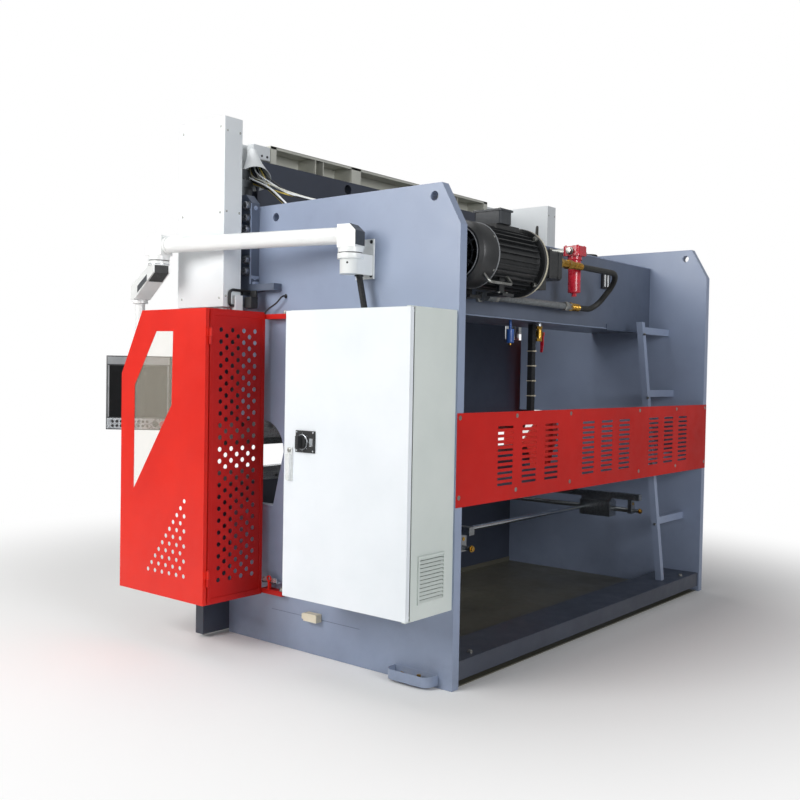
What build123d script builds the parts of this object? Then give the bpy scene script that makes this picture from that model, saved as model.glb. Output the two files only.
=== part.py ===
"""CNC press brake, seen from its rear right corner.

Millimetres. Origin on the floor, midway between the side plates, under the
bending line. +X is right as seen from the front, +Y points to the rear, +Z up.
"""
import os
from math import atan2, cos, degrees, hypot, radians, sin, tan

from build123d import *

os.makedirs("parts", exist_ok=True)

# Driving dimensions
REAR = 1530.0           # bending line to the rear edge of the side plates
PLATE_X = 1420.0        # middle to the outer face of a side plate
PLATE_T = 50.0          # side plate thickness
PLATE_TOP = 2280.0      # side plate height
CUT_Z, CUT_Y = 193.0, 108.0   # sloped corner at the top rear of a side plate
THROAT_Z = 1004.0       # middle of the rounded throat
THROAT_R = 160.0        # radius of the throat's nose
THROAT_BACK = 434.0     # bending line to the back of the throat
BED_X = PLATE_X + 180   # half length of bed, ram and tools
BEAM_T = 60.0           # thickness of the bed and ram plates
BED_TOP = 720.0         # top of the bed plate
BED_FOOT = 18.0         # gap under the bed plate
BLOCK_H = 92.0          # table block on the bed
BLOCK_T = 110.0
DIE_BASE_H = 40.0
DIE_H = 34.0
RAM_LOW = 1145.0        # underside of the ram
RAM_STEP = 1690.0       # top of the ram under the cylinders
RAM_TOP = 2577.0
PUNCH_TIP = 1006.0
CLAMP_H, CLAMP_T = 50.0, 96.0   # tool clamps under the ram
CYL_X = PLATE_X - PLATE_T / 2 - 2   # hydraulic cylinder axis, over the side plate
CYL_R = 92.0
ROD_R = 55.0
CYL_Z0, CYL_Z1 = PLATE_TOP - 400, PLATE_TOP + 160
RAM_HALF = CYL_X - CYL_R - 45       # half length of the tall middle of the ram
GUIDE_T = 55.0          # guide block, out from the side plate
GUIDE_Y0, GUIDE_Y1 = 99.0, 229.0
GUIDE_TOP = PLATE_TOP + 60
TANK_Y0, TANK_Y1 = 690.0, 1130.0
TANK_Z0, TANK_Z1 = 1730.0, 2169.0
FILLER_X = -900.0
VALVE_X, VALVE_Y = -20.0, TANK_Y1 - 60
GUARD_Z0, GUARD_Z1 = 824.0, 1247.0
GUARD_T = 3.0
SILL_Z0, SILL_Z1, SILL_D = 35.0, 122.0, 240.0
PAN_T = 5.0
STILE_X, STILE_W = -975.0, 40.0     # leaning stile of the ladder
STILE_TOP, STILE_TOP_Y = TANK_Z0 + 50, REAR - 275
RUNGS = 4
MOTOR_Y, MOTOR_Z = TANK_Y1 + 215, TANK_Z1 - 176
MOTOR_X0, MOTOR_X1, COWL_X1 = 660.0, 1065.0, 1200.0   # flange, end of the fins, end of the cowl
MOTOR_R = 158.0         # over the fins
FIN_H = 20.0
FINS = 32
FLANGE_R = 175.0        # standard 350 mm motor flange
BELL_R = 118.0
BELL_X = MOTOR_X0 - 140  # bell housing, pump side
PUMP_X = BELL_X - 210
HOSE_R = 14.0
LOOP_R = 7.0
HOSE_Y0, HOSE_Z0 = MOTOR_Y + 32, MOTOR_Z + 40    # pressure hose at the pump
HOSE_Y1, HOSE_Z1 = TANK_Y1 + 70, TANK_Z0 + 98    # pressure hose at the tank
HOSE_END = -440.0       # where the hose turns back
RAIL_X = 950.0          # backgauge unit
RAIL_END = REAR - 235
RAIL_Z0, RAIL_Z1 = 620.0, 660.0
SPINDLE_Z = 552.0
FINGER_X = 600.0        # gauge fingers on the beam
CAB_X1 = 1750.0         # outer face of the cabinet door
CAB_Y0, CAB_Y1 = REAR - 750, REAR - 10
CAB_Z0, CAB_Z1 = 367.0, 1704.0
DOOR_T = 24.0
DOOR_GAP = 7.0          # cabinet rim to the back of the door
DOOR_END = 4.0          # door ends to the cabinet ends, room for the hinge tabs
HINGE_X, HINGE_Y = CAB_X1 - 7, CAB_Y1 - 7
SWITCH_Y, SWITCH_Z = CAB_Y0 + 125, CAB_Z0 + 731
SG_X0, SG_X1 = 1464.0, 1855.0   # side guard, inner post to outer face
SG_SEAM = 28.0          # outer face to the seam between rear panel and side panel
SG_Y = 330.0            # rear face of the side guard
SG_FRONT = -352.0       # front edge of the side guard
SG_FRONT_TOP = -179.0
SG_Z0, SG_Z1, SG_SLANT = 262.0, 1722.0, 1395.0
COVER_X0, COVER_X1 = PLATE_X + 109, PLATE_X + 226
COVER_Y0, COVER_Y1 = -155.0, 211.0
COVER_Z0, COVER_Z1 = PLATE_TOP - 535, PLATE_TOP + 432
TOPBOX_X, TOPBOX_Y0, TOPBOX_Y1 = 1091.0, -195.0, -45.0
TOPBOX_Z0, TOPBOX_Z1 = COVER_Z1 - 272, COVER_Z1 - 14
PANEL_Z0 = PLATE_TOP - 180
ARM_X, ARM_Y = PLATE_X + 110, 977.0    # swivel axis of the pendant arm
ARM_Z = PLATE_TOP - 218
JOINT_Z = ARM_Z - 82     # swivel face of the arm
ARM_R = 40.0
ARM_DEG = 12.5          # arm points forward, turned outward by this angle
ARM_LEN = 1148.0
HEAD_X, HEAD_Y = 1650.0, -479.0  # controller neck
HEAD_DEG = 39.2         # the controller turns its screen to the rear right
CONTROL_Z0, CONTROL_Z1 = 1081.0, 1490.0


def box(x0, x1, y0, y1, z0, z1):
    return Pos((x0 + x1) / 2, (y0 + y1) / 2, (z0 + z1) / 2) * Box(abs(x1 - x0), abs(y1 - y0), abs(z1 - z0))


def cyl_x(r, x0, x1, y, z):
    return Pos((x0 + x1) / 2, y, z) * Rot(0, 90, 0) * Cylinder(r, abs(x1 - x0))


def cyl_y(r, y0, y1, x, z):
    return Pos(x, (y0 + y1) / 2, z) * Rot(90, 0, 0) * Cylinder(r, abs(y1 - y0))


def cyl_z(r, z0, z1, x, y):
    return Pos(x, y, (z0 + z1) / 2) * Cylinder(r, abs(z1 - z0))


def plate_yz(points, x0, x1):
    """A plate with a straight-sided outline in Y and Z."""
    face = make_face(Polyline(*[(0, y, z) for y, z in points], close=True))
    return Pos(x0, 0, 0) * extrude(face, x1 - x0, dir=(1, 0, 0))


def prism_x(points, x0, x1):
    return plate_yz(points, x0, x1)


def mirrored(shape):
    return mirror(shape, about=Plane.YZ)


def turned_profile(points, x0):
    """A round part on the X axis, from lengths and radii."""
    face = make_face(Polyline((points[0][0], 0), *points, (points[-1][0], 0), close=True))
    return Pos(x0, 0, 0) * revolve(face, axis=Axis.X)


def cord(points, r):
    """A hose of straight runs and tangent arcs; the tightest arc is printed."""
    v = [Vector(*p) for p in points]
    radii = []
    for a, b, c in zip(v, v[1:], v[2:]):
        turn = (b - a).get_angle(c - b)
        radii.append(0.45 * min((b - a).length, (c - b).length) / tan(radians(turn) / 2))
    print("cord", round(r, 1), "arc radii", [round(q) for q in radii])
    path = FilletPolyline(*points, radius=radii)
    start = Plane(origin=v[0], z_dir=v[1] - v[0])
    return sweep(start * Circle(r), path=path, transition=Transition.RIGHT)


def save(name, shape):
    shape.label = name
    export_step(shape, f"parts/{name}.step")


def side_plate():
    top_y = REAR - CUT_Y
    nose = THROAT_BACK - THROAT_R
    low_front = BEAM_T / 2
    up_front = GUIDE_Y0
    d = THROAT_R * sin(radians(45))
    e = Polyline((0, nose, THROAT_Z + THROAT_R), (0, up_front, THROAT_Z + THROAT_R),
                 (0, up_front, PLATE_TOP), (0, top_y, PLATE_TOP), (0, REAR, PLATE_TOP - CUT_Z),
                 (0, REAR, 0), (0, low_front, 0), (0, low_front, BED_TOP),
                 (0, THROAT_BACK - 74, BED_TOP), (0, THROAT_BACK, THROAT_Z))
    a = ThreePointArc((0, THROAT_BACK, THROAT_Z), (0, nose + d, THROAT_Z + d), (0, nose, THROAT_Z + THROAT_R))
    face = make_face([*e.edges(), a.edge()] if hasattr(a, "edge") else [*e.edges(), a])
    plate = Pos(PLATE_X - PLATE_T, 0, 0) * extrude(face, PLATE_T, dir=(1, 0, 0))
    for y, z in ((REAR - 149, PLATE_TOP - 58), (REAR - 1177, PLATE_TOP - 65)):
        plate -= cyl_x(22, PLATE_X - PLATE_T - 1, PLATE_X + 1, y, z)
    return plate


def bed():
    t = BEAM_T / 2
    plate = box(-BED_X, BED_X, -t, t, BED_FOOT, BED_TOP)
    block = box(-BED_X, BED_X, -BLOCK_T / 2, BLOCK_T / 2, BED_TOP, BED_TOP + BLOCK_H)
    return plate + block


def lower_die():
    z0 = BED_TOP + BLOCK_H
    z1 = z0 + DIE_BASE_H
    z2 = z1 + DIE_H
    base = box(-BED_X, BED_X, -45, 45, z0, z1)
    die = prism_x([(-30, z1), (30, z1), (30, z2), (14, z2), (0, z2 - 18), (-14, z2), (-30, z2)], -BED_X, BED_X)
    return base + die


def ram():
    t = BEAM_T / 2
    low = box(-BED_X, BED_X, -t, t, RAM_LOW, RAM_STEP)
    high = box(-RAM_HALF, RAM_HALF, -t, t, RAM_STEP, RAM_TOP)
    shape = low + high
    for x in (-520, 520):
        shape -= cyl_y(30, -t - 1, t + 1, x, RAM_TOP - 47)
    return shape


def upper_tool():
    z1, z2 = RAM_LOW - CLAMP_H, RAM_LOW
    shape = prism_x([(-2, PUNCH_TIP), (2, PUNCH_TIP), (16, PUNCH_TIP + 40), (16, z1), (-16, z1),
                     (-16, PUNCH_TIP + 40)], -BED_X, BED_X)
    shape += box(-BED_X, BED_X, -28, 28, z1, z2)
    n = round(2 * BED_X / 213)
    for i in range(n):
        x = (i + 0.5) * 2 * BED_X / n - BED_X
        shape += box(x - 65, x + 65, -CLAMP_T / 2, CLAMP_T / 2, z1 + 6, z2)
    return shape


def cylinder():
    c = cyl_z(CYL_R, CYL_Z0, CYL_Z1, CYL_X, 0)
    c += cyl_z(CYL_R + 5, CYL_Z0 + 30, CYL_Z0 + 75, CYL_X, 0)
    c += cyl_z(CYL_R + 5, CYL_Z1 - 40, CYL_Z1, CYL_X, 0)
    c += cyl_z(CYL_R - 14, CYL_Z1, CYL_Z1 + 60, CYL_X, 0)
    c += box(CYL_X - 35, CYL_X + 35, CYL_R - 40, GUIDE_Y0, CYL_Z0 + 60, PLATE_TOP - 40)
    c -= cyl_z(ROD_R + 0.05, CYL_Z0 - 1, CYL_Z0 + 180, CYL_X, 0)
    return c


def rod():
    return cyl_z(ROD_R, RAM_STEP, CYL_Z0 + 60, CYL_X, 0)


def guide():
    x0, x1 = PLATE_X, PLATE_X + GUIDE_T
    block = plate_yz([(GUIDE_Y0, CYL_Z0 - 10), (GUIDE_Y1, CYL_Z0 - 10), (GUIDE_Y1, GUIDE_TOP - 45),
                      (GUIDE_Y1 - 45, GUIDE_TOP), (GUIDE_Y0, GUIDE_TOP)], x0, x1)
    block += box(x1, x1 + 12, GUIDE_Y0 + 30, GUIDE_Y0 + 45, CYL_Z0 - 10, GUIDE_TOP)
    shelf = box(x0, x1, GUIDE_Y0, GUIDE_Y1 + 172, CYL_Z0 - 45, CYL_Z0 - 10)
    arms = box(x0, COVER_X0, GUIDE_Y0 + 11, GUIDE_Y1 - 29, COVER_Z0 + 12, COVER_Z0 + 67)
    arms += box(x1, COVER_X0, GUIDE_Y0 + 11, GUIDE_Y0 + 61, PLATE_TOP - 130, PLATE_TOP - 90)
    arms += box(x0, x0 + 25, GUIDE_Y0 + 11, GUIDE_Y1 - 29, COVER_Z0 + 67, CYL_Z0 - 45)
    return block + shelf + arms


def cover():
    """White sheet cover over the cylinder, with the flat panel beside it at the front."""
    s = 3
    shell = box(COVER_X0, COVER_X1, COVER_Y0, COVER_Y1, COVER_Z0, COVER_Z1)
    shell -= box(COVER_X0 + s, COVER_X1 - s, COVER_Y0 + s, COVER_Y1 - s, COVER_Z0 - 1, COVER_Z1 - s)
    shell += box(TOPBOX_X, COVER_X0, COVER_Y0, COVER_Y0 + s, PANEL_Z0, TOPBOX_Z1)
    return shell + box(TOPBOX_X, TOPBOX_X + s, COVER_Y0, COVER_Y0 + 45, PANEL_Z0, TOPBOX_Z0)


def top_box():
    s = 3
    b = box(-TOPBOX_X, TOPBOX_X, TOPBOX_Y0, TOPBOX_Y1, TOPBOX_Z0, TOPBOX_Z1)
    for i in (-1, 0, 1):
        c = i * 727
        b -= box(c - 320, c + 320, TOPBOX_Y0 + s, TOPBOX_Y1 + 1, TOPBOX_Z0 + s, TOPBOX_Z1 - s)
    return b


def oil_tank():
    w = 8
    x = PLATE_X - PLATE_T
    t = box(-x, x, TANK_Y0, TANK_Y1, TANK_Z0, TANK_Z1)
    t -= box(-x + w, x - w, TANK_Y0 + w, TANK_Y1 - w, TANK_Z0 + w, TANK_Z1 - w)
    t -= cyl_z(40, TANK_Z1 - w - 1, TANK_Z1 + 1, FILLER_X, (TANK_Y0 + TANK_Y1) / 2)
    t += box(-x, -x + 630, TANK_Y1, TANK_Y1 + 6, TANK_Z0 - 8, TANK_Z0 + 30)
    return t


def filler_cap():
    y = (TANK_Y0 + TANK_Y1) / 2
    cap = cyl_z(40, TANK_Z1 - 8, TANK_Z1, FILLER_X, y) + cyl_z(46, TANK_Z1, TANK_Z1 + 18, FILLER_X, y)
    return cap + cyl_z(54, TANK_Z1 + 18, TANK_Z1 + 58, FILLER_X, y)


def rear_guard():
    g = box(-PLATE_X, PLATE_X, REAR, REAR + GUARD_T, GUARD_Z0, GUARD_Z1)
    for i in (-1, 0, 1):
        for j in (-1, 0, 1):
            x = i * 817 - 7 + j * 214
            for k in range(11):
                z = 902 + 27.1 * k
                g -= box(x - 65, x + 65, REAR - 1, REAR + GUARD_T + 1, z - 6, z + 6)
    return g


def rear_sill():
    x, y1 = PLATE_X - PLATE_T, REAR - 8
    top = box(-x, x, y1 - SILL_D, y1, SILL_Z1 - 12, SILL_Z1)
    return top + box(-x, x, y1 - 12, y1, SILL_Z0, SILL_Z1 - 12)


def floor_pan():
    """Thin sheet between the side plates that catches oil and offcuts."""
    x = PLATE_X - PLATE_T
    pan = box(-x, x, BEAM_T / 2, REAR - 20, 0, PAN_T)
    return pan + box(-x, x, BEAM_T / 2, BEAM_T / 2 + PAN_T, PAN_T, SILL_Z0)


def ladder_y(z):
    """Middle of the leaning stile at height z."""
    return REAR - 99 - (z - SILL_Z1) * (REAR - 99 - STILE_TOP_Y) / (STILE_TOP - SILL_Z1)


def ladder():
    foot, top = ladder_y(SILL_Z1), ladder_y(STILE_TOP)
    h = STILE_W / 2
    shape = plate_yz([(foot - h, SILL_Z1), (foot + h, SILL_Z1), (top + h, STILE_TOP), (top - h, STILE_TOP)],
                     STILE_X - h, STILE_X + h)
    for i in range(RUNGS):
        z = SILL_Z1 + 377 + i * (STILE_TOP - 54 - SILL_Z1 - 377) / (RUNGS - 1)
        y = ladder_y(z)
        shape += box(PLATE_T - PLATE_X, STILE_X, y - 15, y + 15, z - 22, z + 22)
    return shape


def motor():
    core = MOTOR_R - FIN_H
    n = MOTOR_X1 - MOTOR_X0
    m = turned_profile([(0, FLANGE_R), (20, FLANGE_R), (20, core + 8), (45, core),
                        (n - 6, core), (n - 6, MOTOR_R), (n, MOTOR_R)], MOTOR_X0)
    m = Pos(0, MOTOR_Y, MOTOR_Z) * m
    for i in range(FINS):
        fin = box(MOTOR_X0 + 30, MOTOR_X1 - 6, -2.5, 2.5, core - 4, MOTOR_R)
        m += Pos(0, MOTOR_Y, MOTOR_Z) * Rot(360 / FINS * (i + 0.5), 0, 0) * fin
    foot = MOTOR_Z - MOTOR_R - 35
    for side in (-1, 1):
        y = MOTOR_Y + side * 95
        m += box(MOTOR_X1 - 157, MOTOR_X1 - 59, y - 45, y + 45, foot, foot + 14)
        m += box(MOTOR_X1 - 130, MOTOR_X1 - 86, y - 8, y + 8, foot, MOTOR_Z - 90)
    m += box(MOTOR_X0 + 90, MOTOR_X0 + 295, MOTOR_Y - 62, MOTOR_Y + 62, MOTOR_Z + core - 20, MOTOR_Z + MOTOR_R + 8)
    return m


def fan_cowl():
    """Round sheet cowl with an open ring grille over the fan end."""
    n = COWL_X1 - MOTOR_X1
    r = MOTOR_R
    c = turned_profile([(0, r), (n - 20, r), (n, r - 22)], 0)
    c -= turned_profile([(-1, r - 4), (n - 22, r - 4), (n - 4, r - 24)], 0)
    c -= cyl_x(122, n - 10, n + 1, 0, 0)
    for q in (34, 64, 94):
        c += cyl_x(q + 3, n - 4, n, 0, 0) - cyl_x(q - 3, n - 5, n + 1, 0, 0)
    c += cyl_x(14, n - 4, n, 0, 0)
    for a in (0, 60, 120):
        c += Rot(a, 0, 0) * box(n - 4, n, -4, 4, -124, 124)
    return Pos(MOTOR_X1, MOTOR_Y, MOTOR_Z) * c


def terminal_box():
    z = MOTOR_Z + MOTOR_R + 8
    x = MOTOR_X0 + 235
    b = box(x - 50, x + 50, MOTOR_Y - 79, MOTOR_Y + 80, z, z + 62)
    b = fillet(b.edges().filter_by(Axis.Z), 12)
    return b + box(x - 54, x + 54, MOTOR_Y - 83, MOTOR_Y + 84, z + 62, z + 72)


def pump():
    bell = turned_profile([(0, BELL_R - 30), (30, BELL_R), (MOTOR_X0 - BELL_X, BELL_R)], BELL_X)
    p = Pos(0, MOTOR_Y, MOTOR_Z) * bell
    body = box(PUMP_X, BELL_X, MOTOR_Y - 60, MOTOR_Y + 60, MOTOR_Z - 60, MOTOR_Z + 95)
    p += fillet(body.edges().filter_by(Axis.X), 22)
    p += box(BELL_X - 60, BELL_X + 60, MOTOR_Y - 52, MOTOR_Y + 52, MOTOR_Z - BELL_R - 4, MOTOR_Z - 50)
    p += cyl_z(22, MOTOR_Z + 95, MOTOR_Z + 117, PUMP_X + 140, MOTOR_Y - 15)
    return p


def pump_fitting():
    """Brass union from the pump's side port to the hose."""
    f = turned_profile([(0, 16), (10, 22), (110, 22), (110, 17), (120, 24), (150, 24), (150, 18), (240, 18)], 0)
    return Pos(PUMP_X, HOSE_Y0, HOSE_Z0) * Rot(0, 0, 180) * f


def pressure_hose():
    x0 = PUMP_X - 240
    return cord([(x0, HOSE_Y0, HOSE_Z0), (HOSE_END, HOSE_Y0, HOSE_Z0), (HOSE_END, HOSE_Y1, HOSE_Z1),
                 (-249, HOSE_Y1, HOSE_Z1)], HOSE_R)


def return_pipe():
    """Steel pipe along the tank that takes the hose, with an elbow into the tank."""
    p = cyl_x(20, -249, -136, HOSE_Y1, HOSE_Z1) + cyl_x(25, -136, -96, HOSE_Y1, HOSE_Z1)
    p += cyl_x(19, -96, 700, HOSE_Y1, HOSE_Z1) + cyl_x(25, 655, 727, HOSE_Y1, HOSE_Z1)
    return p + cyl_y(21, TANK_Y1, HOSE_Y1, 700, HOSE_Z1)


def loop_hose():
    x, y, z = PUMP_X + 140, MOTOR_Y - 15, MOTOR_Z + 117
    zt = z + 105
    y1 = TANK_Y1 + 105
    return cord([(x, y, z), (x, y, zt), (x - 150, y1, zt), (x - 150, y1, zt - 200), (x - 150, TANK_Y1, zt - 200)], LOOP_R)


def pump_bracket():
    """Ring plate that carries motor and pump off the rear face of the tank."""
    x1 = MOTOR_X0
    x0 = x1 - 16
    zs = HOSE_Z1 + 38
    half = MOTOR_Z - zs
    b = box(x0, x1, TANK_Y1, MOTOR_Y, zs, MOTOR_Z + half) + cyl_x(half, x0, x1, MOTOR_Y, MOTOR_Z)
    b += box(x0 - 130, x1, TANK_Y1, TANK_Y1 + 12, zs, MOTOR_Z + half)
    for z in (zs, MOTOR_Z + half - 12):
        tri = make_face(Polyline((x0 - 130, TANK_Y1 + 12), (x0, TANK_Y1 + 12), (x0, MOTOR_Y - 60), close=True))
        b += Pos(0, 0, z) * extrude(tri, 12)
    return b - cyl_x(BELL_R, x0 - 1, x1 + 1, MOTOR_Y, MOTOR_Z)


def filter_unit():
    """Filter head and bowl on a short pipe out of the tank."""
    x, y, z = -30, TANK_Y1 + 160, TANK_Z1 - 9
    head = box(x - 52, x + 52, y - 52, y + 52, z - 55, z)
    head = fillet(head.edges().filter_by(Axis.Z), 18)
    bowl = cyl_z(36, z - 265, z - 55, x, y) + cyl_z(40, z - 75, z - 55, x, y)
    bowl = fillet(bowl.edges().group_by(Axis.Z)[0], 10)
    nut = extrude(Pos(x, y, z - 284) * RegularPolygon(14, 6), 20)
    ports = Pos(x, y, z - 28) * Rot(0, 0, 180) * turned_profile([(50, 26), (62, 26), (92, 13), (120, 13)], 0)
    ports += cyl_x(15, x + 50, x + 78, y, z - 28)
    return head + bowl + nut + ports + cyl_y(20, TANK_Y1, y - 50, x, z - 28)


def level_gauge():
    g = box(-755, -655, TANK_Y1, TANK_Y1 + 14, TANK_Z1 - 190, TANK_Z1 - 87)
    for x in (-735, -695):
        g -= box(x, x + 20, TANK_Y1 + 10, TANK_Y1 + 15, TANK_Z1 - 180, TANK_Z1 - 97)
    return g


def ball_valve():
    z = TANK_Z0 - 64
    v = cyl_z(13, TANK_Z0 - 108, TANK_Z0, VALVE_X, VALVE_Y) + cyl_z(19, z - 22, z + 22, VALVE_X, VALVE_Y)
    v += extrude(Pos(VALVE_X, VALVE_Y, z - 44) * RegularPolygon(19, 6), 18)
    v += extrude(Pos(VALVE_X, VALVE_Y, z + 26) * RegularPolygon(19, 6), 18)
    v += cyl_x(12, VALVE_X, VALVE_X - 30, VALVE_Y, z)
    return v + cyl_x(5, VALVE_X - 30, VALVE_X - 56, VALVE_Y, z)


def valve_lever():
    z = TANK_Z0 - 64
    x = VALVE_X - 36
    lever = box(x - 8, x, VALVE_Y - 12, VALVE_Y + 12, z - 12, z + 12)
    lever += plate_yz([(VALVE_Y - 12, z - 9), (VALVE_Y + 9, z - 9), (VALVE_Y + 9, z - 60), (VALVE_Y + 2, z - 108),
                       (VALVE_Y - 12, z - 108)], x - 8, x)
    return lever - cyl_x(5.05, x - 9, x + 1, VALVE_Y, z)


def air_canister():
    x, y = 290, TANK_Y1 - 60
    c = cyl_z(8, TANK_Z0 - 51, TANK_Z0, x, y) + cyl_z(22, TANK_Z0 - 130, TANK_Z0 - 51, x, y)
    return fillet(c.edges().group_by(Axis.Z)[0], 8)


def cable_duct():
    """Slotted duct that hangs from the tank."""
    x, y = -138, TANK_Y1 - 180
    d = box(x - 40, x + 40, y - 30, y + 30, TANK_Z0 - 530, TANK_Z0)
    return fillet(d.edges().filter_by(Axis.Z), 14)


def backgauge_rail():
    """One cantilevered unit: front block, rail, ball screw and its bearing bracket."""
    y0 = BEAM_T / 2
    u = box(RAIL_X - 55, RAIL_X + 55, y0, y0 + 80, SPINDLE_Z - 52, RAIL_Z1)
    u += box(RAIL_X - 22, RAIL_X + 22, y0 + 80, RAIL_END, RAIL_Z0, RAIL_Z1)
    u += cyl_y(15, y0 + 80, RAIL_END - 60, RAIL_X, SPINDLE_Z)
    u += cyl_y(11, RAIL_END - 60, RAIL_END - 5, RAIL_X, SPINDLE_Z)
    u += box(RAIL_X - 45, RAIL_X + 45, 880, 1100, SPINDLE_Z - 52, SPINDLE_Z + 48)
    u += box(RAIL_X - 22, RAIL_X + 22, 880, 1100, SPINDLE_Z + 48, RAIL_Z0)
    u += box(RAIL_X - 26, RAIL_X + 26, RAIL_END - 75, RAIL_END - 50, SPINDLE_Z - 20, RAIL_Z0)
    return u


def drive_shaft():
    return cyl_x(14, 45 - RAIL_X, RAIL_X - 45, 915, SPINDLE_Z)


def backgauge_beam():
    z0 = RAIL_Z1 + 45
    b = box(-RAIL_X - 200, RAIL_X + 200, 560, 640, z0, z0 + 95)
    b -= box(-RAIL_X - 201, RAIL_X + 201, 572, 628, z0 + 12, z0 + 83)
    for s in (-1, 1):
        x = s * RAIL_X
        b += box(x - 45, x + 45, 540, 660, RAIL_Z1 + 0.1, z0)
        f = s * FINGER_X
        b += box(f - 30, f + 30, 545, 655, z0 + 95, z0 + 150)
        b += plate_yz([(545, z0 + 135), (600, z0 + 150), (600, z0 + 195), (250, z0 + 195), (250, z0 + 180),
                       (520, z0 + 165)], f - 22, f + 22)
    return b


def cabinet():
    x0, x1 = PLATE_X, CAB_X1 - DOOR_T - DOOR_GAP
    c = box(x0, x1, CAB_Y0, CAB_Y1, CAB_Z0, CAB_Z1)
    c -= box(x0 + 3, x1 + 1, CAB_Y0 + 3, CAB_Y1 - 3, CAB_Z0 + 3, CAB_Z1 - 3)
    for i in range(11):
        z = CAB_Z0 + 80 + 17 * i
        c -= box(x0 + 75, x0 + 246, CAB_Y1 - 4, CAB_Y1 + 1, z, z + 7)
    for z0, z1, p0, p1 in ((CAB_Z0, CAB_Z0 + 3, CAB_Z0 + 3, CAB_Z0 + 22),
                           (CAB_Z1 - 3, CAB_Z1, CAB_Z1 - 22, CAB_Z1 - 3)):
        c += box(x1 - 20, CAB_X1, CAB_Y1 - 20, CAB_Y1, z0, z1)
        c += cyl_z(3.5, p0, p1, HINGE_X, HINGE_Y)
    return c


def cabinet_door():
    d = box(CAB_X1 - DOOR_T, CAB_X1, CAB_Y0, CAB_Y1, CAB_Z0 + DOOR_END, CAB_Z1 - DOOR_END)
    d -= cyl_z(3.55, CAB_Z0, CAB_Z0 + 24, HINGE_X, HINGE_Y)
    d -= cyl_z(3.55, CAB_Z1 - 24, CAB_Z1, HINGE_X, HINGE_Y)
    return d


def switch_plate():
    p = box(CAB_X1, CAB_X1 + 8, SWITCH_Y - 44, SWITCH_Y + 75, SWITCH_Z - 48, SWITCH_Z + 52)
    p += cyl_x(36, CAB_X1 + 8, CAB_X1 + 12, SWITCH_Y, SWITCH_Z)
    return p - cyl_x(8.05, CAB_X1 + 1, CAB_X1 + 13, SWITCH_Y, SWITCH_Z)


def switch_knob():
    x = CAB_X1 + 12.5
    k = cyl_x(30, x, x + 12, SWITCH_Y, SWITCH_Z) + box(x + 12, x + 34, SWITCH_Y - 9, SWITCH_Y + 9, SWITCH_Z - 29, SWITCH_Z + 29)
    return k + cyl_x(8, CAB_X1 + 2, x, SWITCH_Y, SWITCH_Z)


def door_handle():
    """Flush swing handle on its escutcheon."""
    h = box(CAB_X1, CAB_X1 + 6, CAB_Y0 + 22, CAB_Y0 + 58, SWITCH_Z - 185, SWITCH_Z - 30)
    lever = plate_yz([(CAB_Y0 + 30, SWITCH_Z - 180), (CAB_Y0 + 50, SWITCH_Z - 180), (CAB_Y0 + 54, SWITCH_Z - 60),
                      (CAB_Y0 + 26, SWITCH_Z - 60)], CAB_X1 + 6, CAB_X1 + 20)
    return h + lever


def connector_box():
    """Heavy plug housing on the side plate, low down."""
    b = box(PLATE_X, PLATE_X + 40, 632, 722, 172, 212)
    return b + box(PLATE_X + 6, PLATE_X + 34, 615, 632, 178, 206)


KNUCKLE_X, KNUCKLE_Y = SG_X1 - 26, SG_Y + 8
KNUCKLES = (358.0, 1551.0)
GLASS = [(-58, 1613), (77, 1611), (71, 1240), (-239, 793), (-238, 1336)]


def punched(face, centres, r):
    """Punch six-sided holes at local centres of a flat face."""
    return face - [Pos(u, v) * RegularPolygon(r, 6) for u, v in centres]


def side_guard_rear(knuckles=True):
    y0, y1 = SG_Y - 30, SG_Y
    x1 = SG_X1 - SG_SEAM
    w, h = x1 - SG_X0, SG_Z1 - SG_Z0
    pitch = (w - 50) / 6
    rows = 40
    holes = [((i - 3) * pitch, 116 - h / 2 + k * (h - 203) / (rows - 1))
             for k in range(rows) for i in range(k % 2, 7, 2)]
    back = Plane(origin=((SG_X0 + x1) / 2, y1, (SG_Z0 + SG_Z1) / 2), x_dir=(1, 0, 0), z_dir=(0, -1, 0))
    g = extrude(back * punched(Rectangle(w, h), holes, 9), 2)
    g += box(SG_X0, x1, y0, y1 - 2, SG_Z0, SG_Z1) - box(SG_X0 + 3, x1 - 3, y0 - 1, y1, SG_Z0 + 3, SG_Z1 - 3)
    for z in (SG_Z0 + 5, SG_Z1 - 35):
        g += box(PLATE_X, SG_X0 + 10, y1 - 5, y1 + 150, z, z + 25)
    if knuckles:
        for z in KNUCKLES:
            g += cyl_z(8, z, z + 35, KNUCKLE_X, KNUCKLE_Y) + box(x1 - 16, KNUCKLE_X, y1, y1 + 6, z, z + 35)
            g += cyl_z(4, z + 35, z + 72, KNUCKLE_X, KNUCKLE_Y)
    return g


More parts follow.
